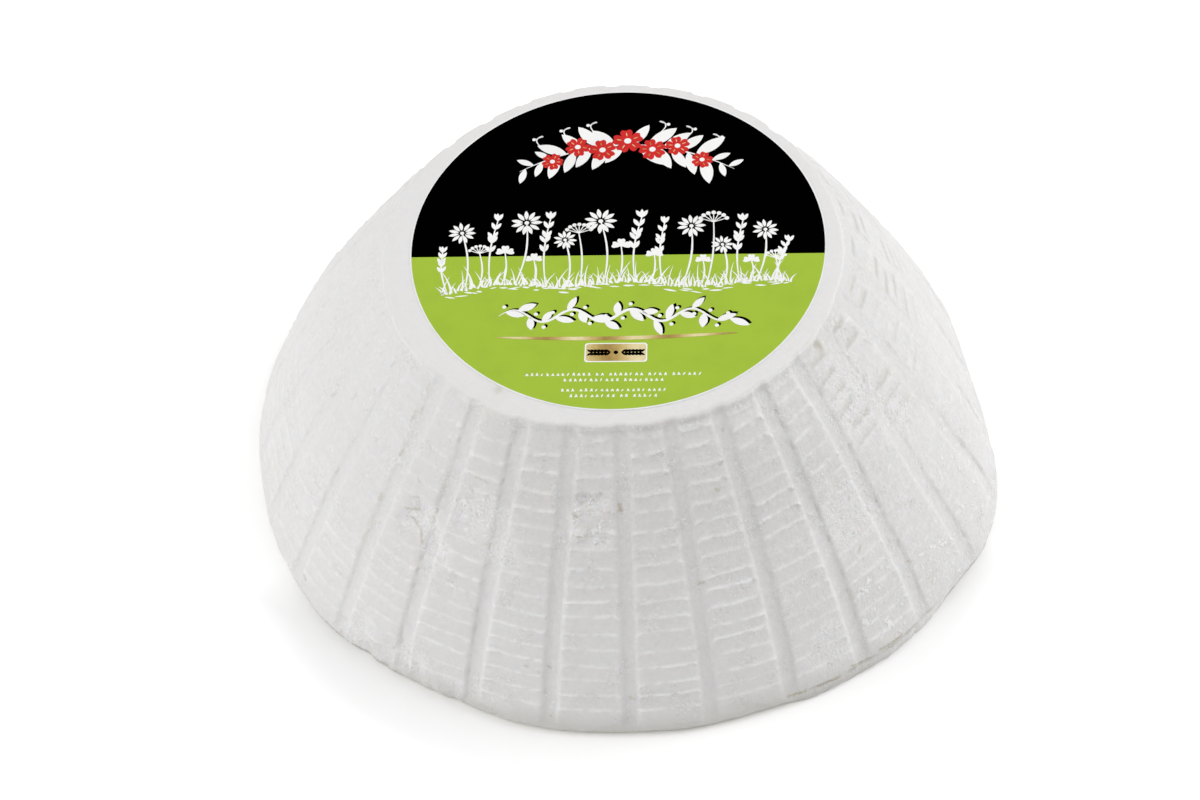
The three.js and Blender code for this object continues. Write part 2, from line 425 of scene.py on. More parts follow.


# %% [markdown]
# ## The finish of the curd
#
# Fresh ricotta is white with a breath of cream, moist and faintly see-through, and its skin is
# a fine grain of curds with small open pits. Light that sinks in and comes out again is what
# makes it look wet and soft, so some of the light is scattered under the surface. The grain and
# the pits are layers of noise of real sizes that raise a bump. The torn places are whiter than
# the rest, and the pits are darker. The rungs, rails and knobs are whiter, partly for the look
# of thin curd ridges and partly as painted highlight, and the squeezed strip and the rim's right
# side carry painted highlight. The slits, seams and crack carry painted shade. The foot is
# darker: a little damp all round, and painted shade, mostly at the front. Its lowest edge is
# tan, partly painted shade, and a painted shade line runs where it meets the floor.

# %% Small pits and slits
# Each mark on the side: (angle, height) of both ends, half width in millimetres and depth.
MARKS = [
    ((-45.0, 42.7), (-42.9, 43.2), 0.5, 0.7), ((-43.7, 40.4), (-40.7, 39.2), 0.45, 0.6),
    ((-40.7, 39.2), (-39.8, 37.3), 0.6, 0.8), ((-33.1, 57.6), (-29.8, 57.2), 0.35, 0.45),
    ((-33.1, 54.0), (-33.1, 54.0), 0.7, 0.5), ((-11.7, 54.5), (-10.9, 54.0), 0.7, 0.6),
    ((-11.3, 50.6), (-9.8, 50.4), 0.45, 0.5), ((-2.3, 56.3), (-2.1, 55.3), 0.8, 0.85),
    ((-1.4, 11.3), (-0.9, 10.8), 0.7, 0.6), ((-17.9, 17.5), (-17.5, 17.4), 0.5, 0.5),
    ((-14.1, 18.0), (-13.7, 17.6), 0.5, 0.6), ((-13.3, 4.9), (-13.3, 4.9), 0.5, 0.5),
    ((17.7, 57.2), (18.1, 57.0), 0.8, 0.6), ((19.6, 61.6), (20.6, 62.2), 0.5, 0.5),
    ((22.8, 67.2), (22.8, 67.2), 0.6, 0.5), ((11.1, 37.5), (12.1, 38.2), 0.5, 0.6),
    ((23.5, 53.0), (23.5, 53.0), 0.5, 0.5), ((40.4, 29.5), (40.9, 29.9), 0.7, 0.4),
    ((57.1, 2.4), (54.8, 1.2), 0.55, 0.6), ((53.9, 28.2), (53.9, 28.2), 0.8, 0.5),
    ((48.1, 18.7), (48.3, 18.2), 0.5, 0.5), ((63.6, 64.6), (63.9, 63.9), 0.7, 0.4),
    ((67.0, 60.7), (67.0, 60.7), 0.6, 0.4), ((-51.3, 41.0), (-51.3, 40.0), 0.8, 0.5),
    ((-44.9, 50.1), (-44.9, 50.1), 0.7, 0.45), ((-51.4, 24.8), (-51.4, 24.8), 0.6, 0.4),
    ((-63.3, 21.4), (-63.3, 21.4), 0.5, 0.35), ((-63.0, 36.6), (-63.2, 33.6), 0.5, 0.25),
    ((-60.5, 6.7), (-59.4, 6.0), 0.6, 0.45), ((-49.3, 3.0), (-49.3, 3.0), 0.7, 0.45),
    ((-51.1, 53.0), (-51.1, 52.0), 0.6, 0.4), ((-45.2, 57.8), (-45.2, 57.8), 0.6, 0.45),
    ((-39.6, 45.9), (-39.2, 45.2), 0.7, 0.4), ((-37.9, 31.6), (-37.9, 31.6), 0.5, 0.4),
    ((-52.4, 69.2), (-52.3, 67.6), 0.45, 0.4), ((-52.4, 62.4), (-52.5, 60.0), 0.5, 0.35),
    ((-64.6, 66.4), (-64.8, 64.9), 0.4, 0.35), ((-65.5, 57.7), (-65.5, 57.7), 0.5, 0.3),
    ((-69.2, 52.5), (-69.3, 50.4), 0.45, 0.3), ((-74.6, 46.0), (-74.8, 44.8), 0.5, 0.35),
    ((-77.2, 69.6), (-77.3, 68.2), 0.4, 0.25), ((22.3, 3.3), (24.9, 3.2), 0.55, 1.0),
    ((26.8, 3.2), (30.4, 2.9), 0.4, 0.8), ((32.7, 4.3), (34.5, 3.2), 0.4, 0.8),
    ((37.6, 4.3), (41.8, 3.8), 0.5, 0.95), ((54.8, 70.5), (55.6, 69.5), 1.4, 0.65),
]
# Marks on the ring round the label: x, y and half width in millimetres, and depth.
TOP_MARKS = [
    (-30.2, -42.3, 1.7, 0.5),
]

# A mark's edge wobbles, and fades between these shares of its half width.
MARK_WOBBLE = 1.3 * MM
MARK_EDGE = (-0.2, 1.25)
SHORTEST_LINE = 0.01 * MM

# The side is this much longer along its slope than its height.
SLOPE_STRETCH = 1.15
print(len(MARKS) + len(TOP_MARKS), "marks")

# %% Colours and numbers of the curd
CURD_WHITE = (0.768, 0.758, 0.755, 1.0)
CURD_CREAM = (0.745, 0.73, 0.698, 1.0)
# The brightest curd is for crumbs, flecks and bright mottle, and is also painted highlight on the
# ridges and the rim.
CURD_BRIGHT_AND_HIGHLIGHT = (0.93, 0.925, 0.93, 1.0)
# A darker grey for dark mottle, and for painted shade at the foot.
CURD_MOTTLE_AND_SHADE = (0.64, 0.626, 0.6, 1.0)
MARK_BROWN = (0.47, 0.42, 0.3, 1.0)
# Tan for the pits, and at the foot's lowest edge partly painted shade.
PIT_AND_SHADE_TAN = (0.62, 0.56, 0.42, 1.0)
# Olive is painted shade in the slits, the seams and the crack.
RECESS_SHADE_OLIVE = (0.5, 0.5, 0.42, 1.0)
CURD_WARM = (0.61, 0.575, 0.535, 1.0)
# Grey is a painted shade line where the foot meets the floor.
CONTACT_SHADE_GREY = (0.34, 0.33, 0.29, 1.0)
CURD_SCATTER = 0.25
CURD_SCATTER_REACH = (1.5 * MM, 1.15 * MM, 0.9 * MM)
CURD_SHINE = 0.35
DRY_ROUGHNESS = 0.46
LUMP_ROUGHNESS = 0.16
TORN_ROUGHNESS = 0.12
BUMP_STRENGTH = 0.8
BUMP_DISTANCE = 0.5 * MM

# Layers of noise: the size of their lumps, then detail and roughness.
CURD_NOISE = {
    "wobble": (0.7 * MM, 2.0, 0.7), "clouds": (22 * MM, 3.0), "lumps": (2.6 * MM, 3.0, 0.6),
    "grain": (0.7 * MM, 2.0, 0.6), "specks": (0.8 * MM, 2.0, 0.7),
    "streaks": (0.9 * MM, 2.0, 0.6), "patches": (7 * MM, 2.0), "foot": (11 * MM, 1.0),
    "crumbs": (2.1 * MM, 2.0, 0.6), "dapple": (1.4 * MM, 3.0, 0.65),
}
STREAK_SQUASH = (1.0, 1.0, 0.16)

# Where masks rise from 0 to 1, in metres: by height, or by distance to the front or a side.
# Some of them place painted light: the rim highlight, the damp and shade at the foot, the tan
# skirt, and the shade line at the foot's edge.
CURD_PLACES = {
    "ring": (HEIGHT - 0.6 * MM, HEIGHT - 0.1 * MM),
    "side ends": (HEIGHT - 0.6 * MM, HEIGHT - 0.2 * MM),
    "brink": (HEIGHT - 1.1 * MM, HEIGHT - 0.5 * MM), "above the foot": (20 * MM, 40 * MM),
    "upper": (28 * MM, 60 * MM), "damp_shade_end": (1.0 * MM, 8 * MM),
    "over the skirt": (0.4 * MM, 2.0 * MM), "over the edge": (1.5 * MM, 2.3 * MM),
    "front": (60 * MM, 95 * MM), "warm front": (45 * MM, 62 * MM), "right": (38 * MM, 60 * MM),
    "brink's right": (-5 * MM, 30 * MM), "left": (15 * MM, 40 * MM),
}
# How much noise wavers the top of the damp and painted shade, of the tan skirt and of the painted
# shade line.
DAMP_SHADE_WAVE, SKIRT_WAVE, CONTACT_SHADE_WAVE = 4 * MM, 2 * MM, 2.6 * MM

# Where masks rise from 0 to 1, as values of a noise.
CURD_VALUES = {
    "patches": (0.5, 0.66), "foot": (0.42, 0.6), "pits": (0.58, 0.68), "flecks": (0.46, 0.36),
    "crumbs": (0.57, 0.68), "cream": (0.45, 0.75), "bright dapple": (0.5, 0.72),
    "dark dapple": (0.5, 0.3), "rough": (0.35, 0.7),
}

# How much of a tint each mask lays on the curd, and how much less of it some places get. Some
# tints are painted light: highlight on the ridges and along the rim, and shade at the foot,
# along its contact line, and in the slits, seams and crack.
TINT = {
    "cream": 0.5, "ridge": 0.55, "grainy ridge": 0.6, "patches": 0.7, "patches off ring": 0.6,
    "dapple": 0.3, "dapple off front": 0.14, "dapple off ring": 0.65, "dapple off left": 0.4,
    "torn": 0.45, "brink": 0.5, "warm": 0.17, "flecks": 0.85, "pits": 0.4, "crumbs": 0.85,
    "damp_and_shade": 0.1, "damp front": 0.9, "skirt": 0.45, "edge": 0.6, "slits": 0.42, "marks": 0.85,
}

# How high each mask stands in the bump, and how much flatter two places are.
BUMP = {
    "lumps": 0.35, "grain": 0.3, "crumbly grain": 0.25, "streaks": 0.25, "pits": 0.3,
    "flecks": 0.3, "crumbs": 0.5, "flat ring": 0.6, "flat left": 0.25,
}
print(len(CURD_NOISE), "layers of noise,", len(TINT), "shares of tints")


# %% Marks on the unrolled side
def unrolled(angle, height):
    """A place on the side as flat metres, as if the side were unrolled."""
    radius = BASE_RADIUS + (TOP_RADIUS - BASE_RADIUS) * height * MM / HEIGHT
    return (math.radians(angle) * radius, height * MM * SLOPE_STRETCH, 0.0)


def marks_share(board, place, x, y, z):
    """How deep in a small pit or slit a place is, from 0 to 1."""
    angle = board.math("ARCTAN2", x, -y)
    radius = BASE_RADIUS + (TOP_RADIUS - BASE_RADIUS) / HEIGHT * z
    flat = board.wire("ShaderNodeCombineXYZ", None, {0: angle * radius, 1: z * SLOPE_STRETCH})
    on_top = board.wire("ShaderNodeCombineXYZ", None, {0: x, 1: y})
    wobble = (board.noise(place, *CURD_NOISE["wobble"]) - 0.5) * MARK_WOBBLE
    deepest = 0.0
    for first, last, half, share in MARKS:
        start, end = Vector(unrolled(*first)), Vector(unrolled(*last))
        gap = distance_to_line(board, flat, start, end) + wobble
        here = board.fall(gap, *mark_edge(half)) * share
        deepest = board.math("MAXIMUM", deepest, here)
    side = board.fall(z, *CURD_PLACES["side ends"])
    deepest = deepest * side
    for right, back, half, share in TOP_MARKS:
        middle = Vector((right * MM, back * MM, 0))
        gap = distance_to_line(board, on_top, middle, middle) + wobble
        here = board.fall(gap, *mark_edge(half)) * share * (1 - side)
        deepest = board.math("MAXIMUM", deepest, here)
    return deepest


def mark_edge(half):
    """Where a mark starts to fade and where it ends, in metres from its line."""
    return tuple(share * (half * MM) for share in MARK_EDGE)


def distance_to_line(board, place, start, end):
    """Distance of a place from a short straight line, or from a point."""
    length = (end - start).length
    if length < SHORTEST_LINE:
        return board.wire("ShaderNodeVectorMath", {"operation": "DISTANCE"},
                          {0: place, 1: start}, "Value")
    from_start = board.wire("ShaderNodeVectorMath", {"operation": "SUBTRACT"},
                            {0: place, 1: start})
    along = (end - start) / length
    share = board.wire("ShaderNodeVectorMath", {"operation": "DOT_PRODUCT"},
                       {0: from_start, 1: along}, "Value")
    share = board.math("MINIMUM", board.math("MAXIMUM", share, 0.0), length)
    reached = board.wire("ShaderNodeVectorMath", {"operation": "SCALE"},
                         {0: along, "Scale": share})
    return board.wire("ShaderNodeVectorMath", {"operation": "DISTANCE"},
                      {0: from_start, 1: reached}, "Value")


print("marks can be laid")


# %% Masks of the curd
def curd_masks(board):
    """Every mask of the curd's finish, by name."""
    place = board.wire("ShaderNodeTexCoord", None, None, "Object")
    spot = board.node("ShaderNodeSeparateXYZ", None, {0: place})
    x, y, z = (Wire(board, spot.outputs[axis]) for axis in "XYZ")
    height = z - (TOP_LEAN[0] * x + TOP_LEAN[1] * y) * board.rise(z, LEAN_FROM, HEIGHT)

    def at(value, name):
        return board.rise(value, *CURD_PLACES[name])

    def noise(name, where=place):
        return board.noise(where, *CURD_NOISE[name])

    def over(value, name):
        return board.rise(value, *CURD_VALUES[name])

    masks = {"height": height, "marks": marks_share(board, place, x, y, height)}
    # From the shape: painted shade in its recesses, how torn it is, and painted highlight on its
    # ridges.
    for name in ("pit", "torn", "ridge"):
        masks[name] = board.wire("ShaderNodeAttribute", {"attribute_name": name}, None, "Fac")
    torn = masks["torn"]
    front, ring, left = at(-y, "front"), at(height, "ring"), at(-x, "left")
    lumps, specks = noise("lumps"), noise("specks")
    squashed = board.wire("ShaderNodeVectorMath", {"operation": "MULTIPLY"},
                          {0: place, 1: STREAK_SQUASH})
    patches = over(noise("patches"), "patches")
    patches = patches * (TINT["patches"] - TINT["patches off ring"] * ring)
    foot = at(x, "right") * board.fall(height, *CURD_PLACES["above the foot"])
    foot = foot * over(noise("foot"), "foot")
    crumbly = board.math("MAXIMUM", patches, torn)
    masks.update({
        "front": front, "ring": ring, "left": left, "lumps": lumps, "specks": specks,
        "clouds": noise("clouds"),
        "grain": noise("grain"),
        "dapple": noise("dapple"),
        "streaks": noise("streaks", squashed),
        # Painted highlight along the rim, on its right side only.
        "brink": at(height, "brink") * (1 - ring) * at(x, "brink's right"),
        "warm": at(-y, "warm front") * at(height, "upper") * (1 - ring),
        "crumbly": crumbly,
        "pits": over(specks, "pits") * crumbly,
        "flecks": over(specks, "flecks") * crumbly,
        "crumbs": over(noise("crumbs"), "crumbs") * board.math("MAXIMUM", torn, foot),
    })
    return masks


# %% Curd material
def curd_colour(board, masks):
    """White curd with one tint laid over another."""
    height, clouds, lumps = masks["height"], masks["clouds"], masks["lumps"]
    front, ridge, dapple = masks["front"], masks["ridge"], masks["dapple"]
    creamy = board.rise(clouds, *CURD_VALUES["cream"])
    grainy = TINT["ridge"] + TINT["grainy ridge"] * masks["grain"]
    mottled = TINT["dapple"] - TINT["dapple off front"] * front
    mottled = mottled * (1 - TINT["dapple off ring"] * masks["ring"])
    mottled = mottled * (1 - TINT["dapple off left"] * masks["left"])
    # Darker towards the foot: a little damp all round, and painted shade, mostly at the front.
    damp_and_shade = board.fall(height + (clouds - 0.5) * DAMP_SHADE_WAVE, *CURD_PLACES["damp_shade_end"])
    # Tan at the lowest edge, partly the curd's own colour and partly painted shade under the
    # rounded foot.
    skirt = board.fall(height + (lumps - 0.5) * SKIRT_WAVE, *CURD_PLACES["over the skirt"])
    # A ragged painted shade line along the lowest edge, where the foot meets the floor.
    uneven = (lumps + masks["specks"] - 1.0) * CONTACT_SHADE_WAVE
    edge = board.fall(height + uneven, *CURD_PLACES["over the edge"])
    layers = [
        (creamy * TINT["cream"], CURD_CREAM),
        # Painted highlight on the rungs, rails, knobs and squeezed strip, partly the whiter look
        # of thin curd ridges.
        (ridge * grainy, CURD_BRIGHT_AND_HIGHLIGHT),
        (board.rise(dapple, *CURD_VALUES["bright dapple"]) * mottled, CURD_BRIGHT_AND_HIGHLIGHT),
        (board.rise(dapple, *CURD_VALUES["dark dapple"]) * mottled, CURD_MOTTLE_AND_SHADE),
        (masks["torn"] * TINT["torn"], CURD_BRIGHT_AND_HIGHLIGHT),
        # Painted highlight along the rim's right side.
        (masks["brink"] * TINT["brink"], CURD_BRIGHT_AND_HIGHLIGHT),
        (masks["warm"] * TINT["warm"], CURD_WARM),
        (masks["flecks"] * TINT["flecks"], CURD_BRIGHT_AND_HIGHLIGHT),
        (masks["pits"] * TINT["pits"], PIT_AND_SHADE_TAN),
        (masks["crumbs"] * TINT["crumbs"], CURD_BRIGHT_AND_HIGHLIGHT),
        # Damp and painted shade at the foot, most at the front.
        (damp_and_shade * (TINT["damp_and_shade"] + TINT["damp front"] * front), CURD_MOTTLE_AND_SHADE),
        # Tan skirt, partly painted shade under the rounded foot.
        (skirt * TINT["skirt"] * (1 - ridge), PIT_AND_SHADE_TAN),
        # The painted shade line where the foot meets the floor, away from the front.
        (edge * TINT["edge"] * (1 - front) * (1 - ridge), CONTACT_SHADE_GREY),
        # Painted shade in the slits, the seams and the crack.
        (masks["pit"] * TINT["slits"], RECESS_SHADE_OLIVE),
        (masks["marks"] * TINT["marks"], MARK_BROWN),
    ]
    colour = CURD_WHITE
    for share, tint in layers:
        colour = board.mix_colour(share, colour, tint)
    return colour


def curd_bump(board, masks):
    """The grain, pits and crumbs of the curd as a bump."""
    height = masks["lumps"] * BUMP["lumps"]
    height = height + masks["grain"] * (BUMP["grain"] + BUMP["crumbly grain"] * masks["crumbly"])
    height = height + masks["streaks"] * BUMP["streaks"] - masks["pits"] * BUMP["pits"]
    height = height + masks["flecks"] * BUMP["flecks"] + masks["crumbs"] * BUMP["crumbs"]
    height = height * (1 - BUMP["flat ring"] * masks["ring"])
    height = height * (1 - BUMP["flat left"] * masks["left"])
    return board.wire("ShaderNodeBump", None, {
        "Strength": BUMP_STRENGTH, "Distance": BUMP_DISTANCE, "Height": height}, "Normal")


def make_curd_material():
    material = bpy.data.materials.new("Fresh curd")
    material.use_nodes = True
    board = Board(material.node_tree)
    masks = curd_masks(board)
    lumpy = LUMP_ROUGHNESS * board.rise(masks["lumps"], *CURD_VALUES["rough"])
    shader = material.node_tree.nodes["Principled BSDF"]
    board.put(shader.inputs["Base Color"], curd_colour(board, masks))
    board.put(shader.inputs["Roughness"], DRY_ROUGHNESS + lumpy + TORN_ROUGHNESS * masks["torn"])
    board.put(shader.inputs["Normal"], curd_bump(board, masks))
    shader.inputs["Subsurface Weight"].default_value = CURD_SCATTER
    shader.inputs["Subsurface Radius"].default_value = CURD_SCATTER_REACH
    shader.inputs["Subsurface Scale"].default_value = 1.0
    shader.inputs["Specular IOR Level"].default_value = CURD_SHINE
    return material


curd_material = make_curd_material()
print("curd material:", len(curd_material.node_tree.nodes), "nodes")

# %% [markdown]
# ## Moving the grid
#
# A few rules say where each point of the grid goes: the plain mould, the waves, the grooves
# with their ladders, the torn places and the foot. The numbers of the rules come first. A rise
# goes from 0 to 1 between two numbers, and a band also falls back to 0 between two more.

# %% Where the relief rises and falls
# By angle: degrees round the axis, from the front towards the right.
ANGLES = {
    "left flank": (-130, -80, -35, -8), "front right": (-32, 8, 85, 150),
    "lifted front": (-28, 2), "long ladders": (-16, -6, 62, 80), "seams": (12, 34),
    "soft side": (-130, -105), "soft side ends": (-60, -28), "crumbly side": (36, 56, 100, 125),
    "vague side": (50, 66, 118, 135), "low rim": (-20, -8),
}
# By height on the side.
HEIGHTS = {
    "set in": (60 * MM, 72 * MM), "slits": (34 * MM, 58 * MM, 68 * MM, 70.5 * MM),
    "groove foot": (1.5 * MM, 6 * MM), "groove top": (GROOVE_TOP - 0.8 * MM, GROOVE_TOP),
    "ladder foot": (2.5 * MM, 7 * MM), "ladder top": (67.2 * MM, 67.74 * MM),
    "seams": (3 * MM, 12 * MM, 68 * MM, 71 * MM), "dotted seams": (18 * MM, 40 * MM),
    "vague": (10 * MM, 40 * MM), "less vague": (40 * MM, 54 * MM), "softer": (24 * MM, 36 * MM),
    "shallow grooves": (28 * MM, 54 * MM), "lifted": (6 * MM, 11 * MM),
    "lifted ends": (68 * MM, 71 * MM), "low rim": (67 * MM, 70 * MM),
    "low rim ends": (70.4 * MM, 70.9 * MM),
}
# By distance: above a rung's crest, from the middle of a groove, or from the strip's edge.
DISTANCES = {
    "crest above": (0.06 * MM, 0.54 * MM), "crest below": (-1.2 * MM, 0.0),
    "crest line": (0.08 * MM, 0.5 * MM), "slit": (0.3 * MM, 0.5 * MM, 0.75 * MM, 2.0 * MM),
    "groove floor": (1.2 * MM, 2.4 * MM), "panel": (1.9 * MM, 2.4 * MM),
    "rail ends": (2.5 * MM, 3.8 * MM), "seam_and_shade": (1.2 * MM, 1.8 * MM, 2.0 * MM, 2.9 * MM),
    "lifted": (2.1 * MM, 2.7 * MM), "strip edge": (-0.3 * MM, 0.3 * MM),
    "crack": (0.05 * MM, CRACK["half"]),
}
# By other values: a noise, a random draw, a place across the panel from -1 to 1, or a hill.
VALUES = {
    "whole rung": (0.34, 0.52), "slit chance": (0.1, 0.55), "slit middle": (0.4, 0.7),
    "rail side": (-0.6, 0.5), "whole rail": (0.42, 0.58), "lee side": (-0.8, -0.6),
    "dots": (0.5, 0.6), "patchy": (0.58, 0.72), "bulging": (0.05, 0.4), "cracked": (0.15, 0.6),
}
# Layers of noise: the size of their lumps, then detail and roughness.
NOISE = {
    "waver": (9 * MM, 1.0), "gaps": (2.4 * MM, 2.0, 0.6), "rail": (4 * MM, 2.0),
    "dots": (2.8 * MM, 2.0, 0.7), "ragged": (5 * MM, 3.0, 0.6), "foot": (4 * MM, 3.0, 0.6),
    "patchy": (9 * MM, 2.0), "lumps": (26 * MM, 2.0), "dimples": (6 * MM, 2.0),
    "crumb": (1.9 * MM, 2.0, 0.6),
}
print(len(ANGLES) + len(HEIGHTS) + len(DISTANCES) + len(VALUES), "rises and bands")

# %% How far the relief reaches
# Rungs are shifted, tilted and wavy. At the front they sit higher, except at the rim, and the
# ladders reach further up.
RUNG_SHIFT, RUNG_TILT, RUNG_WAVER = 0.5 * MM, 0.5 * MM, 1.1 * MM
FRONT_LIFT, RIM_DROP, LONGER_LADDER = 0.55 * MM, 0.8 * MM, 3.2 * MM
RUNG_REACHES = (0.6, 1.3)
CRUMBLY_GAPS = 0.13

# A lifted point also slides in with the slope, more so higher up, where the side is flatter.
LIFT_IN, LIFT_IN_MORE = 0.37, 0.43

# A slit's middle is up to this far aside from the panel's, whose half width is 1.
SLIT_ASIDE, SLIT_DEPTH = 0.25, 0.4 * MM

# A seam runs beside the groove, darkened as painted shade on the groove's lee wall. This share of
# it is whole near the foot, and the rest is dots.
SEAM_DEPTH, SEAM_WHOLE, SOFT_SEAMS = 0.4 * MM, 0.25, 0.5

# The rail lies at the outer edge of a panel. It swaps sides within these degrees of the front.
OUTWARD_WITHIN = 20
RAIL_SHARES = (0.4, 0.6)

# How strongly the finish paints highlight on the rungs, knobs, rails and squeezed strip, partly
# the whiter look of thin curd ridges, and how strongly it paints shade in the seams and the
# crack.
RIDGE_HIGHLIGHT_SHARES = {"rung": 0.65, "knob": 0.5, "rail": 0.35, "foot": 0.8}
RECESS_SHADE_SHARES = {"seam_and_shade": 0.6, "crack": 2.2}

# How much each kind of place wears the ladders away, and how much shallower grooves get.
WORN = {"torn": 0.6, "patchy": 0.45, "crumbly": 0.1, "vague": 0.5, "most": 0.95}
SOFT_SHARES = (0.4, 0.4)
VAGUE_SHARE, LESS_VAGUE = 0.85, 0.6
GROOVE_FADING = (0.15, 0.45)
SHALLOW_TOP = 0.6

# The crumb, and how much more of it rough places have.
LUMPS, DIMPLES, CRUMB = 1.6 * MM, 0.5 * MM, 0.25 * MM
ROUGH_CRUMB = 4
CRUMB_REACHES = {"edge": 0.8 * MM, "strip": 1.0 * MM}
UNDERCUT_LESS = 0.5

# Beyond a groove's own columns, the distance from its middle grows by this much.
OFF_GROOVE = 5 * MM

# Points closer together than this are merged, so the grid closes.
SAME_POINT = 0.0005 * MM

# Each random draw of a rung has its own key, and each kind of draw its own shift of the seed.
KEYS_PER_PANEL, FIRST_KEY = 64, 3
SHIFT_SEED, TILT_SEED, REACH_SEED, SLIT_SEED, ASIDE_SEED = range(1, 6)
print("ladders:", RUNG_COUNT, "rungs,", round(RUNG_PITCH / MM, 2), "mm apart")


# %% Rules of the side, written on a board
def mould_radius(height):
    """Radius of the plain mould at a height: a cone whose side swells as a skewed parabola."""
    share = height / HEIGHT
    straight = BASE_RADIUS + (TOP_RADIUS - BASE_RADIUS) * share
    swell = 4 * SIDE_BULGE * share * (1 - share)
    return straight + swell * (1 + SIDE_BULGE_SKEW * (1 - 2 * share))


def lean_lift(board, x, y, height):
    """How far a place is lifted by the lean of the top, which fades out down the side."""
    return (TOP_LEAN[0] * x + TOP_LEAN[1] * y) * board.rise(height, LEAN_FROM, HEIGHT)


def set_in(board, facing, height):
    """How far the upper side stands in from the plain mould at the front, right and back."""
    left_flank = board.band(facing, *ANGLES["left flank"])
    front_right = board.band(facing, *ANGLES["front right"])
    amount = BACK_SET_IN * (1 - left_flank) + (FRONT_SET_IN - BACK_SET_IN) * front_right
    near_rim = board.rise(height, *HEIGHTS["set in"])
    return amount * (SET_IN_ALL_UP * height / HEIGHT + SET_IN_AT_RIM * near_rim)


def hill(board, angle, low, high):
    """A smooth hill between two angles: 0 at both ends, 1 in the middle."""
    share = board.ramp(angle, low, high)
    return board.math("POWER", board.math("SINE", math.pi * share), HILL_POWER)


def wave_reach(board, angle, height):
    reach = 0.0
    for low, high, out, top in WAVES:
        upright = board.fall(height, top * MM * WAVE_FULL, top * MM)
        reach = reach + out * MM * hill(board, angle, low, high) * upright
    return reach


def seeded(board, number, low, high, seed):
    """A random value for each whole number."""
    return board.wire("FunctionNodeRandomValue", {"data_type": "FLOAT"},
                      {2: low, 3: high, "ID": number, "Seed": seed}, 1)


print("rules of the side are ready")


# %% Where each grid point lies on the mould
def lay_columns(board, column):
    """For each column: groove, signed step from its middle, panel and place across the panel."""
    groove = board.math("FLOOR", (column + HALF_PANEL_COLUMNS) / COLUMNS_PER_PANEL)
    step = column - groove * COLUMNS_PER_PANEL
    panel = board.math("FLOOR", (column + 0.5) / COLUMNS_PER_PANEL)
    return {
        "groove": groove,
        "side": board.math("SIGN", step + 0.5),
        "step": board.math("ABSOLUTE", step),
        "panel": board.math("MODULO", panel, GROOVE_COUNT),
        "across": (column / COLUMNS_PER_PANEL - panel) * 2 - 1,
    }


def groove_angle(board, groove, seed):
    """Angle of a groove's middle, in degrees, with its own small jitter."""
    ring_place = board.math("FLOORED_MODULO", groove, GROOVE_COUNT)
    jitter = seeded(board, ring_place, -GROOVE_TURN_JITTER, GROOVE_TURN_JITTER, seed)
    return groove * (360 / GROOVE_COUNT) + GROOVE_TURN + jitter


def stepped(board, step, widths):
    """How far a whole number of steps of given widths reaches."""
    reach = 0.0
    for number, width in enumerate(widths):
        reach = reach + width * board.ramp(step, number, number + 1)
    return reach


def column_angle(board, lay, radius, seed):
    """Angle of a column, in degrees, at a radius of the mould."""
    here = groove_angle(board, lay["groove"], seed)
    beyond = groove_angle(board, lay["groove"] + lay["side"], seed)
    reach = stepped(board, lay["step"], GROOVE_STEPS)
    edge = lay["side"] * reach / radius * (180 / math.pi)
    share = board.ramp(lay["step"], len(GROOVE_STEPS), HALF_PANEL_COLUMNS)
    return here + edge + share * ((beyond - here) * 0.5 - edge)


def lay_rows(board, row):
    """For each row: its height on the side, its turn over the rim and its way in on both caps."""
    on_side = board.math("MINIMUM", board.math("MAXIMUM", row - BASE_ROWS, 0.0), SIDE_ROWS)
    rung = board.math("FLOOR", (on_side + 0.5) / ROWS_PER_RUNG)
    height = rung * RUNG_PITCH + stepped(board, on_side - rung * ROWS_PER_RUNG, ROW_STEPS)
    first_rim = BASE_ROWS + SIDE_ROWS
    first_top = first_rim + RIM_ROWS
    return {
        "height": height,
        "over": board.ramp(row, first_rim, first_top) * (math.pi / 2),
        "top_in": board.ramp(row, first_top, first_top + TOP_ROWS),
        "base_in": 1 - board.ramp(row, 0, BASE_ROWS),
    }


print("columns and rows can be laid")


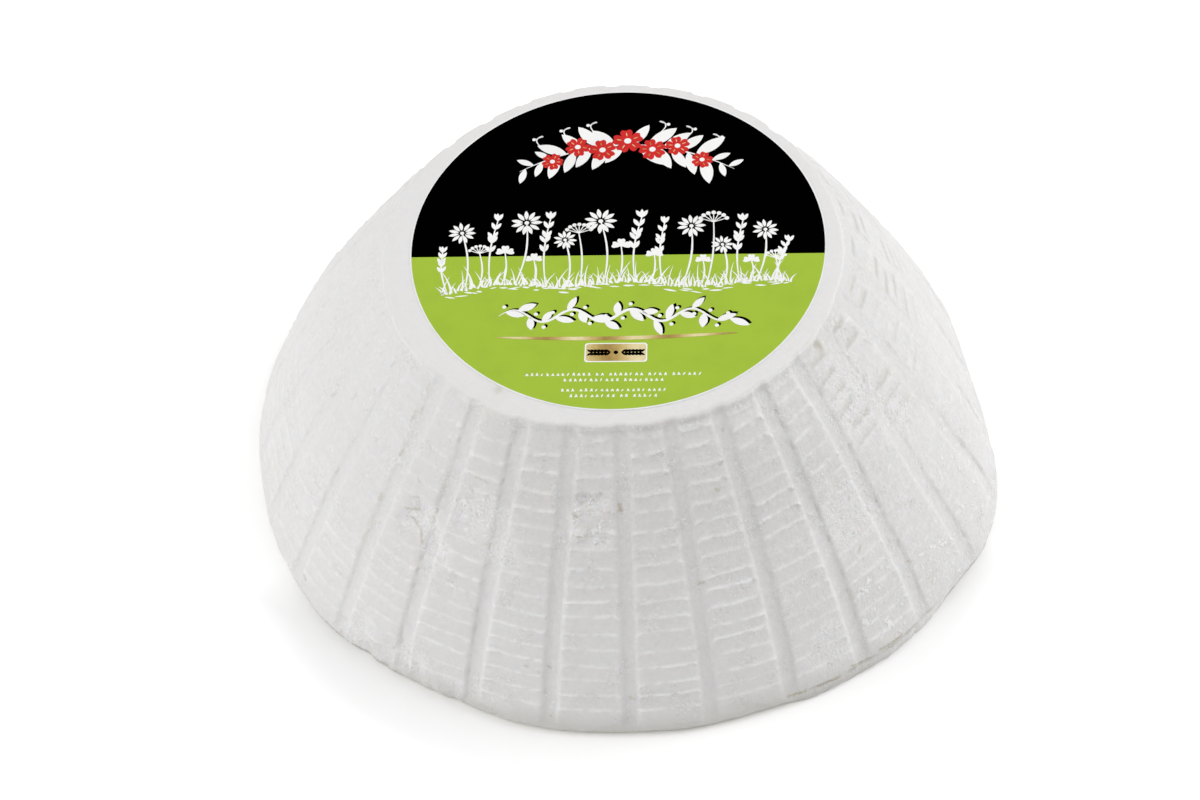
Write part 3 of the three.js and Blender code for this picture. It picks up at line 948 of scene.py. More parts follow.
# %% The relief of grooves and rungs
def ladder(board, lay, height, place, facing, crumbly_side, seed):
    """For each point: the nearest rung's crest, reach and lift, and the slit above its crest."""
    count = (height - FIRST_RUNG) / RUNG_PITCH
    below = board.math("FLOOR", count)
    nearest = board.math("FLOOR", count + 0.5)
    key = lay["panel"] * KEYS_PER_PANEL + FIRST_KEY
    lift_below = seeded(board, key + below, -RUNG_SHIFT, RUNG_SHIFT, seed + SHIFT_SEED)
    lift_above = seeded(board, key + below + 1, -RUNG_SHIFT, RUNG_SHIFT, seed + SHIFT_SEED)
    tilt = seeded(board, lay["panel"], -RUNG_TILT, RUNG_TILT, seed + TILT_SEED)
    lift = lift_below + (count - below) * (lift_above - lift_below) + tilt * lay["across"]
    lift = lift + (board.noise(place, *NOISE["waver"]) - 0.5) * RUNG_WAVER
    lift = lift + FRONT_LIFT * board.rise(facing, *ANGLES["lifted front"])
    away = (count - nearest) * RUNG_PITCH
    crest = board.fall(away, *DISTANCES["crest above"])
    crest = crest * board.rise(away, *DISTANCES["crest below"])
    line = board.fall(board.math("ABSOLUTE", away), *DISTANCES["crest line"])
    reach = seeded(board, key + nearest, *RUNG_REACHES, seed + REACH_SEED)
    reach = reach * board.fall(nearest, RUNG_COUNT - 1, RUNG_COUNT)
    gaps = board.noise(place, *NOISE["gaps"]) - CRUMBLY_GAPS * crumbly_side
    drawn = seeded(board, key + nearest, 0.0, 1.0, seed + SLIT_SEED)
    slit = board.rise(drawn, *VALUES["slit chance"]) * board.band(away, *DISTANCES["slit"])
    aside = seeded(board, key + nearest, -SLIT_ASIDE, SLIT_ASIDE, seed + ASIDE_SEED)
    from_middle = board.math("ABSOLUTE", lay["across"] - aside)
    slit = slit * board.fall(from_middle, *VALUES["slit middle"])
    slit = slit * board.band(height, *HEIGHTS["slits"]) * crumbly_side
    return {"lift": lift, "crest": crest, "line": line, "reach": reach,
            "whole": board.rise(gaps, *VALUES["whole rung"]), "slit": slit}


def groove_relief(board, off, height):
    """How deep the groove is at a distance from its middle."""
    floor = board.fall(off, *DISTANCES["groove floor"])
    lower = board.rise(height, *HEIGHTS["groove foot"])
    upper = 1 - SHALLOW_TOP * board.rise(height, *HEIGHTS["groove top"])
    return GROOVE_DEPTH * floor * lower * upper


def ladder_relief(board, lay, rungs, off, height, place, facing, worn):
    """Rungs across the panel, the rail and its knobs with painted highlight, and the seam at the
    other edge with painted shade.
    """
    outward = board.math("MINIMUM", board.math("MAXIMUM", facing / OUTWARD_WITHIN, -1.0), 1.0)
    across = lay["across"] * outward
    on_panel = board.rise(off, *DISTANCES["panel"])
    rail = on_panel * board.fall(off, *DISTANCES["rail ends"])
    rail = rail * board.ramp(across, *VALUES["rail side"])
    whole_rail = board.rise(board.noise(place, *NOISE["rail"]), *VALUES["whole rail"])
    rail = rail * (RAIL_SHARES[0] + RAIL_SHARES[1] * whole_rail)
    last = height - board.band(facing, *ANGLES["long ladders"]) * LONGER_LADDER
    span = board.rise(height, *HEIGHTS["ladder foot"]) * board.fall(last, *HEIGHTS["ladder top"])
    kept = span * (1 - worn)
    there = rungs["reach"] * on_panel * rungs["whole"]
    rung = there * rungs["crest"]
    reach = (RUNG_REACH * rung + KNOB_REACH * rung * rail + RAIL_REACH * rail) * kept
    # The rung lines and the rail get a painted highlight, partly the whiter look of thin curd
    # ridges.
    line = there * rungs["line"] * (RIDGE_HIGHLIGHT_SHARES["rung"] + RIDGE_HIGHLIGHT_SHARES["knob"] * rail)
    ridge = board.math("MAXIMUM", line, rail * RIDGE_HIGHLIGHT_SHARES["rail"]) * kept
    # The seam lies on the lee wall of the groove, where its painted shade goes.
    lee = 1 - board.ramp(across, *VALUES["lee side"])
    beside = board.band(off, *DISTANCES["seam_and_shade"])
    dotted = board.rise(board.noise(place, *NOISE["dots"]), *VALUES["dots"])
    whole = SEAM_WHOLE - SEAM_WHOLE * board.rise(height, *HEIGHTS["dotted seams"])
    seam_and_shade = lee * beside * (whole + (1 - whole) * dotted)
    seam_and_shade = seam_and_shade * board.rise(board.math("ABSOLUTE", facing), *ANGLES["seams"])
    seam_and_shade = seam_and_shade * board.band(height, *HEIGHTS["seams"])
    return {"reach": reach, "ridge": ridge, "seam_and_shade": seam_and_shade}


print("grooves, rungs, rails and knobs are ready")


# %% Torn places, the foot and the squeezed strip
def torn_share(board, place):
    """How torn a place is, from 0 to 1, and how deep that cuts."""
    ragged = board.noise(place, *NOISE["ragged"]) - 0.5
    torn, depth = 0.0, 0.0
    for angle, up, wide, deep in TEARS:
        turn, height, width = math.radians(angle), up * MM, wide * MM
        radius = BASE_RADIUS + (TOP_RADIUS - BASE_RADIUS) * height / HEIGHT
        radius += SIDE_BULGE * TEAR_BULGE
        middle = (radius * math.sin(turn), -radius * math.cos(turn), height)
        gap = board.wire("ShaderNodeVectorMath", {"operation": "DISTANCE"},
                         {0: place, 1: middle}, "Value")
        here = board.fall(gap + ragged * (TEAR_RAGGED * width), width * TEAR_FULL, width)
        torn = board.math("MAXIMUM", torn, here) if isinstance(torn, Wire) else here
        depth = depth + here * (deep * MM)
    return torn, depth


def foot_relief(board, angle, height, place):
    """The foot's spread, its rounded lower edge, and the strip with the crack above it."""
    spread = FOOT_SWELL * board.fall(height, 0.0, FOOT_SWELL_TOP)
    under = 1 - board.ramp(height, 0.0, UNDERCUT_TOP)
    crumb = board.noise(place, *NOISE["foot"]) - 0.5
    along = hill(board, angle, STRIP["low"], STRIP["high"])
    edge = STRIP["top"] + crumb * CRUMB_REACHES["edge"]
    in_strip = board.fall(height - edge, *DISTANCES["strip edge"])
    from_crack = board.math("ABSOLUTE", height - edge - (CRACK["height"] - STRIP["top"]))
    in_crack = board.fall(from_crack, *DISTANCES["crack"])
    bulging = board.rise(along, *VALUES["bulging"])
    strip = bulging * in_strip * (STRIP["reach"] + crumb * CRUMB_REACHES["strip"])
    crack = board.rise(along, *VALUES["cracked"]) * in_crack
    undercut = UNDERCUT * under * under * (1 - UNDERCUT_LESS * bulging)
    return {
        "reach": spread - undercut + strip - crack * CRACK["depth"],
        "rough": bulging * in_strip,
        "crack": crack,
    }


print("torn places and the foot are ready")


# %% Which parts of the side are soft, crumbly, vague or worn
def side_shares(board, facing, height, place, torn):
    """Shares from 0 to 1: how soft, crumbly, vague and worn each place of the side is."""
    soft = board.fall(facing, *ANGLES["soft side ends"])
    soft = soft * board.rise(facing, *ANGLES["soft side"])
    crumbly = board.band(facing, *ANGLES["crumbly side"])
    patchy = board.rise(board.noise(place, *NOISE["patchy"]), *VALUES["patchy"])
    vague = board.band(facing, *ANGLES["vague side"])
    vague = vague * board.rise(height, *HEIGHTS["vague"]) * VAGUE_SHARE
    vague = vague * (1 - LESS_VAGUE * board.rise(height, *HEIGHTS["less vague"]))
    softer = SOFT_SHARES[0] + SOFT_SHARES[1] * board.rise(height, *HEIGHTS["softer"])
    worn = torn * WORN["torn"] + patchy * WORN["patchy"] + crumbly * WORN["crumbly"]
    worn = worn + soft * softer + vague * WORN["vague"]
    return {"soft": soft, "crumbly": crumbly, "vague": vague,
            "worn": board.math("MINIMUM", worn, WORN["most"])}


def unevenness(board, place, rough):
    """Lumps, dimples and crumb. Rough places have more crumb."""
    lumps = (board.noise(place, *NOISE["lumps"]) - 0.5) * LUMPS
    dimples = (board.noise(place, *NOISE["dimples"]) - 0.5) * DIMPLES
    crumb = (board.noise(place, *NOISE["crumb"]) - 0.5) * CRUMB
    return lumps + dimples + crumb * (1 + ROUGH_CRUMB * rough)


def oval(board, facing, radius):
    """How far the round stands out as a slight oval."""
    doubled = (facing - OVAL_ANGLE) * (math.pi / 90)
    return OVAL_REACH * board.math("COSINE", doubled) * radius / BASE_RADIUS


def rung_lift(board, lift, facing, height, off):
    """How far the rungs are lifted. It fades at the grooves, the foot and the rim."""
    on_ladder = board.rise(off, *DISTANCES["lifted"]) * board.rise(height, *HEIGHTS["lifted"])
    on_ladder = on_ladder * board.fall(height, *HEIGHTS["lifted ends"])
    at_rim = board.rise(height, *HEIGHTS["low rim"])
    at_rim = at_rim * board.fall(height, *HEIGHTS["low rim ends"])
    at_rim = at_rim * board.rise(off, *DISTANCES["lifted"])
    at_rim = at_rim * board.rise(facing, *ANGLES["low rim"])
    return lift * on_ladder - at_rim * RIM_DROP


print("shares of the side are ready")


# %% The tree's inputs, grid and output
def start_tree(name, inputs):
    """A board for a new geometry tree with named inputs, and the inputs as wires."""
    tree = bpy.data.node_groups.new(name, "GeometryNodeTree")
    tree.interface.new_socket(name="Geometry", in_out="OUTPUT",
                              socket_type="NodeSocketGeometry")
    for label, kind in inputs.items():
        tree.interface.new_socket(name=label, in_out="INPUT", socket_type="NodeSocket" + kind)
    board = Board(tree)
    group = board.node("NodeGroupInput")
    return board, {s.name: Wire(board, s) for s in group.outputs if s.name}


def end_tree(board, shape, material):
    """Makes the shape real, gives it its material and hands it out."""
    real = board.wire("GeometryNodeRealizeInstances", None, {"Geometry": shape})
    dressed = board.wire("GeometryNodeSetMaterial", None,
                         {"Geometry": real, "Material": material})
    board.node("NodeGroupOutput", None, {0: dressed})
    return board.tree


def lay_grid(board):
    """A flat grid, and the column and row of each of its points."""
    grid = board.node("GeometryNodeMeshGrid", None, {
        "Size X": float(column_count), "Size Y": float(row_count - 1),
        "Vertices X": column_count + 1, "Vertices Y": row_count,
    })
    spot = board.node("ShaderNodeSeparateXYZ", None,
                      {0: board.wire("GeometryNodeInputPosition")})
    column = board.math("ROUND", Wire(board, spot.outputs["X"]) + column_count / 2)
    row = board.math("ROUND", Wire(board, spot.outputs["Y"]) + (row_count - 1) / 2)
    return Wire(board, grid.outputs["Mesh"]), column, row


print("trees can be started and ended")


# %% All of the relief
def cheese_relief(board, given, lay, height, radius, angle):
    """How far each point reaches out and is lifted, and its shares for the finish."""
    facing = board.math("WRAP", angle, 180.0, -180.0)
    turn = angle * (math.pi / 180)
    sine, cosine = board.math("SINE", turn), board.math("COSINE", turn)
    place = board.wire("ShaderNodeCombineXYZ", None,
                       {0: radius * sine, 1: -(radius * cosine), 2: height})
    torn, tear_depth = torn_share(board, place)
    side = side_shares(board, facing, height, place, torn)
    rungs = ladder(board, lay, height, place, facing, side["crumbly"], given["Seed"])
    off = stepped(board, lay["step"], GROOVE_STEPS) + board.rise(
        lay["step"], len(GROOVE_STEPS), HALF_PANEL_COLUMNS) * OFF_GROOVE
    foot = foot_relief(board, facing, height, place)
    rough = board.math("MAXIMUM", torn, foot["rough"])

    fading = GROOVE_FADING[0] + GROOVE_FADING[1] * board.rise(height, *HEIGHTS["shallow grooves"])
    grooves = groove_relief(board, off, height) * given["Groove depth"]
    grooves = grooves * (1 - fading * board.math("MAXIMUM", side["soft"], side["crumbly"]))
    grooves = grooves * (1 - side["vague"])
    relief = ladder_relief(board, lay, rungs, off, height, place, facing, side["worn"])
    seam_and_shade = relief["seam_and_shade"] * (1 - side["vague"]) * (1 - SOFT_SEAMS * side["soft"])
    reach = oval(board, facing, radius) + wave_reach(board, facing, height) + foot["reach"]
    reach = reach + given["Unevenness"] * unevenness(board, place, rough)
    reach = reach + relief["reach"] * given["Rung reach"] - grooves - tear_depth
    reach = reach - rungs["slit"] * SLIT_DEPTH - seam_and_shade * SEAM_DEPTH
    reach = reach - set_in(board, facing, height)
    # Painted shade in the recesses: the slits, the seams and the crack.
    pits = board.math("MAXIMUM", rungs["slit"], seam_and_shade * RECESS_SHADE_SHARES["seam_and_shade"])
    return {
        "sine": sine, "cosine": cosine, "reach": reach,
        "lift": rung_lift(board, rungs["lift"], facing, height, off),
        "torn": rough,
        # Painted highlight on the rungs, rails and knobs, and on the squeezed strip.
        "ridge": board.math("MAXIMUM", relief["ridge"], foot["rough"] * RIDGE_HIGHLIGHT_SHARES["foot"]),
        "pit": board.math("MAXIMUM", pits, foot["crack"] * RECESS_SHADE_SHARES["crack"]),
    }


print("the relief can be laid")


# %% The whole tree
def build_cheese_tree():
    board, given = start_tree("Moulded cheese", {
        "Unevenness": "Float", "Groove depth": "Float", "Rung reach": "Float",
        "Seed": "Int", "Material": "Material",
    })
    marked, column, row = lay_grid(board)
    lay, rows = lay_columns(board, column), lay_rows(board, row)
    height = rows["height"]
    radius = mould_radius(height)
    angle = column_angle(board, lay, radius, given["Seed"])
    relief = cheese_relief(board, given, lay, height, radius, angle)

    lift = relief["lift"]
    rim_in = RIM_ROUNDING * (1 - board.math("COSINE", rows["over"]))
    slid_in = lift * (LIFT_IN + LIFT_IN_MORE * height / HEIGHT)
    out = radius + relief["reach"] - rim_in - slid_in
    out = out * (1 - rows["top_in"]) * (1 - rows["base_in"])
    rim_up = (HEIGHT - RIM_BOTTOM) * board.math("SINE", rows["over"])
    level_height = height + lift + rim_up
    right, back = out * relief["sine"], -(out * relief["cosine"])
    final_height = level_height + lean_lift(board, right, back, level_height)

    for name in ("torn", "ridge", "pit"):
        marked = board.wire("GeometryNodeStoreNamedAttribute",
                            {"data_type": "FLOAT", "domain": "POINT"},
                            {"Geometry": marked, "Name": name, "Value": relief[name]})
    target = board.wire("ShaderNodeCombineXYZ", None, {0: right, 1: back, 2: final_height})
    placed = board.wire("GeometryNodeSetPosition", None,
                        {"Geometry": marked, "Position": target})
    closed = board.wire("GeometryNodeMergeByDistance", None,
                        {"Geometry": placed, "Distance": SAME_POINT})
    smooth = board.wire("GeometryNodeSetShadeSmooth", None, {"Geometry": closed})
    return end_tree(board, smooth, given["Material"])


cheese_tree = build_cheese_tree()
print("cheese tree:", len(cheese_tree.nodes), "nodes")


# %% Make the cheese from its tree
def made_plain(holder, name):
    """The result of an object's modifier as a plain mesh object at the origin."""
    graph = bpy.context.evaluated_depsgraph_get()
    mesh = bpy.data.meshes.new_from_object(
        holder.evaluated_get(graph), preserve_all_data_layers=True, depsgraph=graph)
    mesh.name = name
    bpy.data.objects.remove(holder)
    piece = bpy.data.objects.new(name, mesh)
    bpy.context.scene.collection.objects.link(piece)
    return piece


def run_tree(name, tree, values, given_mesh=None):
    """Runs a geometry tree with the named inputs and gives its plain mesh."""
    start = given_mesh or bpy.data.meshes.new(name + "_holder")
    holder = bpy.data.objects.new(name + "_holder", start)
    bpy.context.scene.collection.objects.link(holder)
    modifier = holder.modifiers.new("Shape", "NODES")
    modifier.node_group = tree
    for socket in tree.interface.items_tree:
        if socket.in_out == "INPUT" and socket.name in values:
            modifier[socket.identifier] = values[socket.name]
    return made_plain(holder, name)


CHEESE_SEED = 11
cheese = run_tree("cheese_body", cheese_tree, {
    "Unevenness": 1.0,
    "Groove depth": 1.0,
    "Rung reach": 1.0,
    "Seed": CHEESE_SEED,
    "Material": curd_material,
})
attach(cheese, "root")
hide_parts("ricotta")
cheese.data.calc_loop_triangles()
print("cheese:", len(cheese.data.loop_triangles), "triangles")

# %% [markdown]
# ## The label
#
# The label is a round of thin printed film that lies on the top and leans with it. Its print is
# two fields of ink, black over lime, with white, red and gold drawing on them. Print could be
# painted with masks in one finish, but a mask goes soft when it is baked to a picture, and fine
# print needs sharp edges. Here each ink is a layer of thin closed shapes on the film, one piece
# for each colour, so every edge stays sharp at any size.
#
# The drawing is a meadow: a garland of red blossoms, a strip of grass with daisies and oats, a
# leafy vine, and rows of seeds. Single lines are drawn as strokes. The small shapes that repeat
# (leaves, petals, blades and dots) are cut once and stamped on points by a Geometry Nodes tree.

# %% Sizes of the label, in millimetres
LABEL_RADIUS = 52.4
PRINT_RADIUS = 52.0
LABEL_PLACE = (0.35, 1.41)
LABEL_TURN = math.radians(-4.2)
FIELD_SPLIT = -4.38
FILM_STEPS = 180
FIELD_STEPS = 120
FILM_THICKNESS = 0.14

# The film's rings, from the middle of its underside to the middle of its face: radius, height.
FILM_RINGS = [
    (0.0, 0.0),
    (LABEL_RADIUS - 1.0, 0.0),
    (LABEL_RADIUS - 0.06, 0.02),
    (LABEL_RADIUS, 0.07),
    (LABEL_RADIUS - 0.06, 0.12),
    (LABEL_RADIUS - 0.3, FILM_THICKNESS),
    (LABEL_RADIUS * 0.6, FILM_THICKNESS),
    (0.0, FILM_THICKNESS),
]

# Each layer lies between two heights above the cheese's top. Tops that overlap differ by steps.
FIELD_LAYER = (0.12, 0.17)
SHADOW_LAYER = (0.15, 0.19)
DRAWING_LAYER = (0.15, 0.2)
BLOSSOM_LAYER = (0.15, 0.225)
TOP_LAYER = (0.2, 0.262)
LAYER_STEP = 0.0015
LAYER_STEPS = 9

label_place = Vector((LABEL_PLACE[0] * MM, LABEL_PLACE[1] * MM, HEIGHT))
label_place.z += TOP_LEAN[0] * label_place.x + TOP_LEAN[1] * label_place.y
leaning = Matrix.Identity(4)
leaning[2][0], leaning[2][1] = TOP_LEAN
label_frame = (Matrix.Translation(label_place) @ leaning
               @ Matrix.Rotation(LABEL_TURN, 4, "Z") @ Matrix.Scale(MM, 4))
print("label:", 2 * LABEL_RADIUS, "mm across")


# %% Film and inks
INK_ROUGHNESS = 0.45
INK_SHINE = 0.12
INK_DARKER = 0.94
INK_CLOUD = (9 * MM, 3.0)
INK_CLOUD_RISE = (0.4, 0.8)
INK_FIBRE = (0.6 * MM, 2.0)
INK_FIBRE_ROUGHNESS = 0.06
FILM_WHITE = (0.86, 0.86, 0.85)
INK_BLACK = (0.0003, 0.0003, 0.0003)
INK_LIME = (0.363, 0.519, 0.0465)
INK_WHITE = (0.9, 0.9, 0.89)
INK_RED = (0.62, 0.025, 0.022)
BLACK_ROUGHNESS, BLACK_SHINE = 0.6, 0.0
GOLD_COLOUR = (0.5, 0.36, 0.12)
GOLD_ROUGHNESS, GOLD_SHINE = 0.36, 0.5
GOLD_METAL = 0.25
GOLD_BAND = 7.5 * MM
GOLD_NOISE = (1.1 * MM, 2.0)
GOLD_BAND_SHARE, GOLD_NOISE_SHARE, GOLD_LEAST = 0.8, 0.4, 0.1
GOLD_STOPS = [(0.0, (0.36, 0.22, 0.05, 1.0)), (0.45, (0.62, 0.45, 0.16, 1.0)),
              (1.0, (0.9, 0.78, 0.46, 1.0))]


def make_ink(name, colour, roughness=INK_ROUGHNESS, shine=INK_SHINE):
    """A flat ink or film with a faint unevenness in its colour and its sheen."""
    material = bpy.data.materials.new(name)
    material.use_nodes = True
    board = Board(material.node_tree)
    place = board.wire("ShaderNodeTexCoord", None, None, "Object")
    cloud = board.rise(board.noise(place, *INK_CLOUD), *INK_CLOUD_RISE)
    fibre = board.noise(place, *INK_FIBRE)
    darker = (*(INK_DARKER * part for part in colour), 1.0)
    shader = material.node_tree.nodes["Principled BSDF"]
    board.put(shader.inputs["Base Color"], board.mix_colour(cloud, (*colour, 1.0), darker))
    board.put(shader.inputs["Roughness"], roughness + INK_FIBRE_ROUGHNESS * fibre)
    shader.inputs["Specular IOR Level"].default_value = shine
    return material


def make_gold_ink():
    """Gold foil: bands of dark and bright gold across it, partly metal."""
    material = make_ink("Gold ink", GOLD_COLOUR, GOLD_ROUGHNESS, GOLD_SHINE)
    board = Board(material.node_tree)
    place = board.wire("ShaderNodeTexCoord", None, None, "Object")
    spot = board.node("ShaderNodeSeparateXYZ", None, {0: place})
    across = Wire(board, spot.outputs["X"]) / GOLD_BAND
    band = board.math("SINE", across * math.pi) * 0.5 + 0.5
    fleck = board.noise(place, *GOLD_NOISE) - 0.5
    tone = board.node("ShaderNodeValToRGB", {"stops": GOLD_STOPS}, {
        0: band * GOLD_BAND_SHARE + GOLD_NOISE_SHARE * fleck + GOLD_LEAST})
    shader = material.node_tree.nodes["Principled BSDF"]
    board.put(shader.inputs["Base Color"], Wire(board, tone.outputs["Color"]))
    shader.inputs["Metallic"].default_value = GOLD_METAL
    return material


film_material = make_ink("White film", FILM_WHITE)
black_ink = make_ink("Black ink", INK_BLACK, BLACK_ROUGHNESS, BLACK_SHINE)
lime_ink = make_ink("Lime ink", INK_LIME)
white_ink = make_ink("White ink", INK_WHITE)
red_ink = make_ink("Red ink", INK_RED)
gold_ink = make_gold_ink()
print("inks:", [material.name for material in bpy.data.materials if "ink" in material.name])


# %% Outlines of the small shapes, one unit long
LENS_FULLNESS = 0.8
BLADE_FULLNESS = 0.7
PETAL = {"half": 0.56, "skew": 1.5, "fullness": 0.62, "bow": 0.12, "bow power": 8, "notch": 0.1}
STROKE_FULLNESS = 0.45
STROKE_TIP = 0.15
LENS_STEPS, BLADE_STEPS, DISC_STEPS, PETAL_STEPS = 9, 8, 16, 10


def lens_outline(steps=LENS_STEPS):
    """A pointed leaf or petal along +x."""
    over = [(n / steps, 0.5 * math.sin(math.pi * n / steps) ** LENS_FULLNESS)
            for n in range(steps + 1)]
    back = [(x, -y) for x, y in reversed(over[1:-1])]
    return list(reversed(over + back))


def blade_outline(bend, steps=BLADE_STEPS):
    """A blade of grass along +x: wide at its foot, pointed and bent to one side at its tip."""
    left, right = [], []
    for share in (number / steps for number in range(steps + 1)):
        half = 0.5 * (1 - share) ** BLADE_FULLNESS
        middle = bend * share * share
        left.append((share, middle + half))
        right.append((share, middle - half))
    return right + list(reversed(left[:-1]))


def disc_outline(steps=DISC_STEPS):
    turns = [2 * math.pi * n / steps for n in range(steps)]
    return [(math.cos(turn), math.sin(turn)) for turn in turns]


def petal_outline(steps=PETAL_STEPS):
    """A wide blossom petal along +x, with a small notch at its tip."""
    left = []
    for share in (number / steps for number in range(steps + 1)):
        round_side = abs(math.sin(math.pi * share ** PETAL["skew"])) ** PETAL["fullness"]
        left.append((share - PETAL["bow"] * share ** PETAL["bow power"],
                     PETAL["half"] * round_side))
    left[0] = (0.0, 0.0)
    left[-1] = (left[-1][0] - PETAL["notch"], 0.0)
    back = [(x, -y) for x, y in reversed(left[1:-1])]
    return list(reversed(left + back))


def stroke_outline(points, width, tip=STROKE_TIP):
    """A line through points, full in the middle and thin at both ends."""
    left, right = [], []
    last = len(points) - 1
    for number, (x, y) in enumerate(points):
        before = points[max(number - 1, 0)]
        after = points[min(number + 1, last)]
        along = Vector((after[0] - before[0], after[1] - before[1])).normalized()
        fullness = abs(math.sin(math.pi * number / last)) ** STROKE_FULLNESS
        half = 0.5 * width * max(fullness, tip)
        left.append((x - along.y * half, y + along.x * half))
        right.append((x + along.y * half, y - along.x * half))
    return right + list(reversed(left))


print("outlines are ready:", len(lens_outline()), "points to a leaf")


# %% Shapes as thin closed slabs
def slab(outline, low, high):
    """Points and faces of a thin closed slab with an outline that runs counter-clockwise."""
    count = len(outline)
    points = [(x, y, z) for z in (low, high) for x, y in outline]
    faces = [tuple(range(count - 1, -1, -1)), tuple(range(count, 2 * count))]
    for number in range(count):
        after = (number + 1) % count
        faces.append((number, after, count + after, count + number))
    return points, faces


def layer_step(number):
    return LAYER_STEP * (number % LAYER_STEPS)


def slabs_mesh(name, outlines, layer):
    """One mesh of many slabs. Each is a hair higher than the last, so tops never coincide."""
    points, faces = [], []
    for number, outline in enumerate(outlines):
        more, sides = slab(outline, layer[0], layer[1] + layer_step(number))
        faces += [tuple(index + len(points) for index in side) for side in sides]
        points += more
    mesh = bpy.data.meshes.new(name)
    mesh.from_pydata(points, [], faces)
    return mesh


def joined(name, meshes, material):
    """Joins meshes in label millimetres into one piece that lies on the cheese."""
    whole = bmesh.new()
    for mesh in meshes:
        whole.from_mesh(mesh)
        bpy.data.meshes.remove(mesh)
    for face in whole.faces:
        face.material_index = 0
    bmesh.ops.transform(whole, matrix=label_frame, verts=whole.verts)
    mesh = bpy.data.meshes.new(name)
    whole.to_mesh(mesh)
    whole.free()
    mesh.materials.clear()
    mesh.materials.append(material)
    piece = bpy.data.objects.new(name, mesh)
    bpy.context.scene.collection.objects.link(piece)
    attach(piece, "root")
    mesh.calc_loop_triangles()
    print(name + ":", len(mesh.loop_triangles), "triangles")
    return piece


# %% The stamp tree
def build_stamp_tree():
    board, given = start_tree("Stamp", {
        "Geometry": "Geometry", "Shape": "Object", "Turn jitter": "Float",
        "Seed": "Int", "Material": "Material",
    })
    shape = board.wire("GeometryNodeObjectInfo", None, {"Object": given["Shape"]}, "Geometry")
    turn = board.wire("GeometryNodeInputNamedAttribute", {"data_type": "FLOAT"},
                      {"Name": "turn"}, "Attribute")
    size = board.wire("GeometryNodeInputNamedAttribute", {"data_type": "FLOAT_VECTOR"},
                      {"Name": "size"}, "Attribute")
    number = board.wire("GeometryNodeInputIndex")
    jitter = seeded(board, number, -1.0, 1.0, given["Seed"]) * given["Turn jitter"]
    turned = board.wire("ShaderNodeCombineXYZ", None, {2: turn + jitter})
    stamps = board.wire("GeometryNodeInstanceOnPoints", None, {
        "Points": given["Geometry"], "Instance": shape, "Rotation": turned, "Scale": size,
    })
    return end_tree(board, stamps, given["Material"])


STAMP_SEED = 5
stamp_tree = build_stamp_tree()


def stamped(name, outline, layer, spots, material, jitter=0.0):
    """Stamps a shape on spots (u, v, turn in degrees, length, width) and gives the mesh."""
    shape = bpy.data.objects.new(name + "_shape", slabs_mesh(name + "_shape", [outline], layer))
    bpy.context.scene.collection.objects.link(shape)
    points = bpy.data.meshes.new(name + "_points")
    places = [(u, v, layer_step(number)) for number, (u, v, *_) in enumerate(spots)]
    points.from_pydata(places, [], [])
    turns = points.attributes.new("turn", "FLOAT", "POINT")
    turns.data.foreach_set("value", [math.radians(spot[2]) for spot in spots])
    sizes = points.attributes.new("size", "FLOAT_VECTOR", "POINT")
    sizes.data.foreach_set("vector", [part for spot in spots for part in (spot[3], spot[4], 1.0)])
    values = {"Shape": shape, "Turn jitter": math.radians(jitter), "Seed": STAMP_SEED,
              "Material": material}
    piece = run_tree(name, stamp_tree, values, points)
    mesh = piece.data
    bpy.data.objects.remove(piece)
    bpy.data.objects.remove(shape)
    return mesh


print("stamp tree:", len(stamp_tree.nodes), "nodes")


# %% The film and its two fields of ink
def make_film():
    """The white film: a thin round with a soft edge, closed all round."""
    points, faces = [], []
    between = FILM_RINGS[1:-1]
    for radius, height in between:
        for number in range(FILM_STEPS):
            turn = 2 * math.pi * number / FILM_STEPS
            points.append((radius * math.cos(turn), radius * math.sin(turn), height))
    last = (len(between) - 1) * FILM_STEPS
    for here in range(0, last, FILM_STEPS):
        above = here + FILM_STEPS
        for number in range(FILM_STEPS):
            after = (number + 1) % FILM_STEPS
            faces.append((here + number, here + after, above + after, above + number))
    bottom, top = len(points), len(points) + 1
    points += [(0.0, 0.0, FILM_RINGS[0][1]), (0.0, 0.0, FILM_RINGS[-1][1])]
    for number in range(FILM_STEPS):
        after = (number + 1) % FILM_STEPS
        faces.append((after, number, bottom))
        faces.append((last + number, last + after, top))
    mesh = bpy.data.meshes.new("film")
    mesh.from_pydata(points, [], faces)
    return joined("label_film", [mesh], film_material)


def field_outline(low, high):
    """The part of the print's disc between two angles."""
    turns = [low + (high - low) * n / FIELD_STEPS for n in range(FIELD_STEPS + 1)]
    return [(PRINT_RADIUS * math.cos(turn), PRINT_RADIUS * math.sin(turn)) for turn in turns]


film = make_film()
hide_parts("label")
split_angle = math.asin(FIELD_SPLIT / PRINT_RADIUS)
black_outline = field_outline(split_angle, math.pi - split_angle)
lime_outline = field_outline(-math.pi - split_angle, split_angle)
black_field = slabs_mesh("black field", [black_outline], FIELD_LAYER)
lime_field = slabs_mesh("lime field", [lime_outline], FIELD_LAYER)


# %% Sizes of the garland, in millimetres on the label
# The stem is an arch: its middle, half width, top and how far it drops at that half width.
ARCH = {"middle": 1.8, "half": 28, "top": 33.0, "drop": 9.0}
STEM_HALVES = range(-52, 60)
STEM_WIDTH = 0.5
LEAF_COUNT = 26
FIRST_LEAF, LEAF_PITCH = -24.5, 2.1
LEAF_LEAN = (42, 62)
LEAF_LENGTH = (5.0, 6.6)
LONG_LEAVES = {"within": 20, "stretch": 1.5}
SHORT_LEAF_STRETCH = 0.85
LEAF_WIDTH = 0.36

